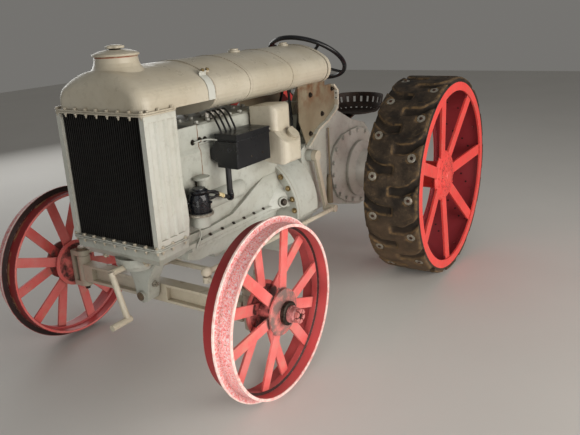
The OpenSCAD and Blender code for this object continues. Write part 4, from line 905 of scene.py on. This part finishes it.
def rear_wheel_trim(name, side):
    """The band's bolts with their washers, rivets on the rim and hub, and nuts inside the rim with black discs as
    painted shade in its spare holes.
    """
    place = WHEEL[name, side]
    spots = []
    for row, phase in BOLT_ROWS:
        spots += [ring_spot(place, BAND_R1 - 8.5, (i + phase) / LUGS, row) for i in range(LUGS)]
    washer = turned([(23, -3), (23, 1.6), (21, 2.6), (11, 3.0)], 18)
    repeated(washer, spots, "band_washers_" + name, zinc, "rear_wheel_" + name)
    screw = dome_head(9.5, 4.4)
    screw.data.transform(Matrix.Translation((0, 0, 2.8 * MM)))
    repeated(screw, spots, "band_bolts_" + name, rust_brown, "rear_wheel_" + name)
    rivets = []
    for i in range(7):
        for off in (-0.009, 0.009):
            turn = (i * 360 / 7 + 33) / 360 + off
            rivets.append(ring_spot(place, 508, turn, -4, False))
            rivets.append(ring_spot(place, 116, turn + off * 3.4, -46, False))
    for i in range(28):
        rivets.append(ring_spot(place, 510, (i + 0.25) / 28, -4, False))
    for i in range(10):
        rivets.append(ring_spot(place, 80, i / 10, -37.4, False))
    repeated(rivet_7, rivets, "rim_rivets_" + name, rear_red, "rear_wheel_" + name)
    # Painted shade: flat black discs for the dark insides of the spare holes, not plugs.
    plug = turned([(6.5, 0), (6.5, 0.8)], 10)
    holes, nuts = [], []
    for i in range(14):
        for k, row in enumerate((-88, -124, -182, -218)):
            holes.append(ring_spot(place, 522.6, (i + 0.21 * k + 0.3) / 14, row) @ TURNED_OVER)
    for row, phase in BOLT_ROWS:
        nuts += [ring_spot(place, 522.4, (i + phase) / LUGS, row) @ TURNED_OVER for i in range(LUGS)]
    repeated(plug, holes, "rim_holes_" + name, insulation_and_hole_shade, "rear_wheel_" + name)
    repeated(nut_low, nuts, "rim_nuts_" + name, rear_red, "rear_wheel_" + name)


# Seat


def seat():
    """A pressed pan: a disc drawn into a dish, its front cut low, its back high, with a rolled edge and slots."""
    outline = [(40, 0), (78, 0), (112, 1), (134, 7), (150, 15), (164, 28), (173, 44), (178, 62), (181, 80), (183, 98),
               (184, 112)]
    alone()
    bpy.ops.mesh.primitive_circle_add(vertices=72, radius=40 * MM, fill_type="NGON")
    pan = bpy.context.active_object
    bpy.ops.object.mode_set(mode="EDIT")
    wide, high = outline[0]
    for r, z in outline[1:]:
        bpy.ops.mesh.extrude_region_move(TRANSFORM_OT_translate={"value": (0, 0, (z - high) * MM)})
        bpy.ops.transform.resize(value=(r / wide, r / wide, 1), center_override=(0, 0, z * MM))
        wide, high = r, z
    bpy.ops.mesh.delete(type="ONLY_FACE")
    bpy.ops.object.mode_set(mode="OBJECT")
    for vertex in pan.data.vertices:
        x, y, z = vertex.co / MM
        rim = 108 + (16 - 108) * soft_step(-110, 60, x)
        if z > rim:
            vertex.co.z = (rim + (z - rim) * 0.02) * MM
    bpy.ops.object.mode_set(mode="EDIT")
    bpy.ops.mesh.select_mode(type="FACE")
    bpy.ops.mesh.select_all(action="DESELECT")
    bpy.ops.object.mode_set(mode="OBJECT")
    for face in pan.data.polygons:
        x, y, z = face.center / MM
        a = math.degrees(math.atan2(y, x)) % 360
        r = math.hypot(x, y)
        step = int(a // 5)
        lower = 134 < r < 150 and step % 3 == 1
        upper = 173 < r < 181 and z > 44 and 105 < a < 255 and step % 3 == 2
        face.select = (lower and 90 < a < 270) or upper or (60 < r < 78 and step % 6 in (1, 2))
    bpy.ops.object.mode_set(mode="EDIT")
    bpy.ops.mesh.delete(type="FACE")
    bpy.ops.object.mode_set(mode="OBJECT")
    only(pan)
    sheet = pan.modifiers.new("sheet", "SOLIDIFY")
    sheet.thickness = 4.5 * MM
    sheet.offset = 1
    bpy.ops.object.modifier_apply(modifier="sheet")
    pan.data.transform(Matrix.Translation(at(*SEAT_PLACE)))
    smoothed(pan, 40)
    kept(pan, "pressed_seat", seat_brown, stands_for=["seat_pan"])


# Ignition


def plugs_and_leads():
    """Ribbed white insulators in steel bodies, and stiff wires from them to the coil box."""
    ribbed = turned([(11, 0), (11, 8), (8, 10), (8, 13), (9.5, 14), (9.5, 17), (7.5, 18), (7.5, 21), (9.5, 22),
                     (9.5, 25), (7, 27), (6, 31)], 14)
    seat_nut = hex_head(20, 7)
    spots = [at(PLUG_X + i * PLUG_STEP, PLUG_Y, HEAD_TOP + 0.3) for i in range(4)]
    repeated(ribbed, [aimed(p) for p in spots], "plug_insulators", porcelain)
    repeated(seat_nut, [aimed(p, Z, 10) for p in spots], "plug_bodies", dark_steel)
    runs = []
    for i in range(4):
        x = PLUG_X + i * PLUG_STEP
        far = 1250 + i * 34
        runs.append(strung([at(x, PLUG_Y, HEAD_TOP + 26), at(x, 133, 1113), at(x + 8, 164, 1104),
                            at(far - 4, 206, 1066), at(far, 222, 1040), at(far, 226, 1030)], 4.6))
    kept(joined(runs), "plug_leads", insulation_and_hole_shade, stands_for=["spark_plug_leads"])


# Light, floor and camera


def camera_like_the_photograph():
    """Stands where the photograph was taken: beside the left front wheel, a little above the tank."""
    yaw, pitch, roll = math.radians(-146.630), math.radians(-17.874), math.radians(-2.980)
    ahead = Vector((math.cos(pitch) * math.cos(yaw), math.cos(pitch) * math.sin(yaw), math.sin(pitch)))
    level = ahead.cross(Z).normalized()
    upright = level.cross(ahead)
    across = level * math.cos(roll) + upright * math.sin(roll)
    above = upright * math.cos(roll) - level * math.sin(roll)
    lens = bpy.data.cameras.new("camera")
    lens.sensor_width = 36
    lens.lens = 40.01
    camera = bpy.data.objects.new("camera", lens)
    turn = Matrix((across, above, -ahead)).transposed().to_4x4()
    camera.matrix_world = Matrix.Translation((2.81368, 1.98778, 1.52615)) @ turn
    SCENE.collection.objects.link(camera)
    SCENE.camera = camera


def soft_light(name, place, target, size, power, colour, spread=180):
    lamp = bpy.data.lights.new(name, "AREA")
    lamp.shape = "RECTANGLE"
    lamp.size, lamp.size_y = size
    lamp.energy = power
    lamp.color = tone(colour)[:3]
    lamp.spread = math.radians(spread)
    stand = bpy.data.objects.new(name, lamp)
    stand.location = place
    stand.rotation_euler = (Vector(target) - Vector(place)).to_track_quat("-Z", "Y").to_euler()
    stand.visible_camera = False
    SCENE.collection.objects.link(stand)


def studio():
    world = bpy.data.worlds.new("pale_room")
    world.use_nodes = True
    sky = world.node_tree.nodes["Background"]
    sky.inputs["Color"].default_value = tone("#e2dfd9")
    sky.inputs["Strength"].default_value = 0.23
    SCENE.world = world
    soft_light("door_light", (0.9, 5.0, 1.5), (0.1, 0, 0.7), (5.0, 2.4), 212, "#fff9f2")
    soft_light("front_fill", (5.0, 1.2, 1.9), (0.4, 0, 0.7), (3.0, 2.4), 17, "#e9eef4")
    soft_light("ground_bounce", (2.7, 1.2, 0.55), (0.8, 0.6, 0.24), (0.9, 0.5), 1.7, "#fdfaf4", 46)
    soft_light("far_side_fill", (-1.5, -4.8, 2.2), (0, 0, 0.6), (4.5, 2.4), 70, "#f4f4f2")
    soft_light("roof_light", (-0.5, 0.2, 4.6), (0, 0, 0.6), (4.0, 3.0), 8, "#f4f4f0")
    alone()
    bpy.ops.mesh.primitive_plane_add(size=24)
    floor = bpy.context.active_object
    floor.name = "floor"
    material, shader, place = surface("pale_floor")
    linked(over("#dcdad6", "#d2d0cc", grains(place, 900, 5)), shader.inputs["Base Color"])
    shader.inputs["Roughness"].default_value = 0.7
    dress(floor, material)
    SCENE.view_settings.view_transform = "Standard"


camera_like_the_photograph()
studio()
for node_name, node in NODES.items():
    if SLOT_OF[node_name] in FINISHES:
        dress(node, FINISHES[SLOT_OF[node_name]])
    elif "front_wheel" in node_name:
        dress(node, front_red)
    else:
        dress(node, rear_red)
for node_name, finish in (("tank_support", plate_paint), ("radiator_core", core_paint), ("timer", black_gloss),
                          ("radiator_side_left", panel_paint), ("radiator_side_right", panel_paint),
                          ("brake_rod", tan_paint)):
    dress(NODES[node_name], finish)
radiator_bolts()
filler_cap()
tank_strap()
engine_bolts()
engine_details()
timer_details()
coil_box_details()
spade_bolts()
plate_details()
linkage_nuts()
hub_nuts()
for side_name, side_sign in SIDES:
    tread_band(side_name, side_sign)
    rear_wheel_trim(side_name, side_sign)
seat()
plugs_and_leads()
for pattern in PATTERNS:
    bpy.data.objects.remove(pattern, do_unlink=True)
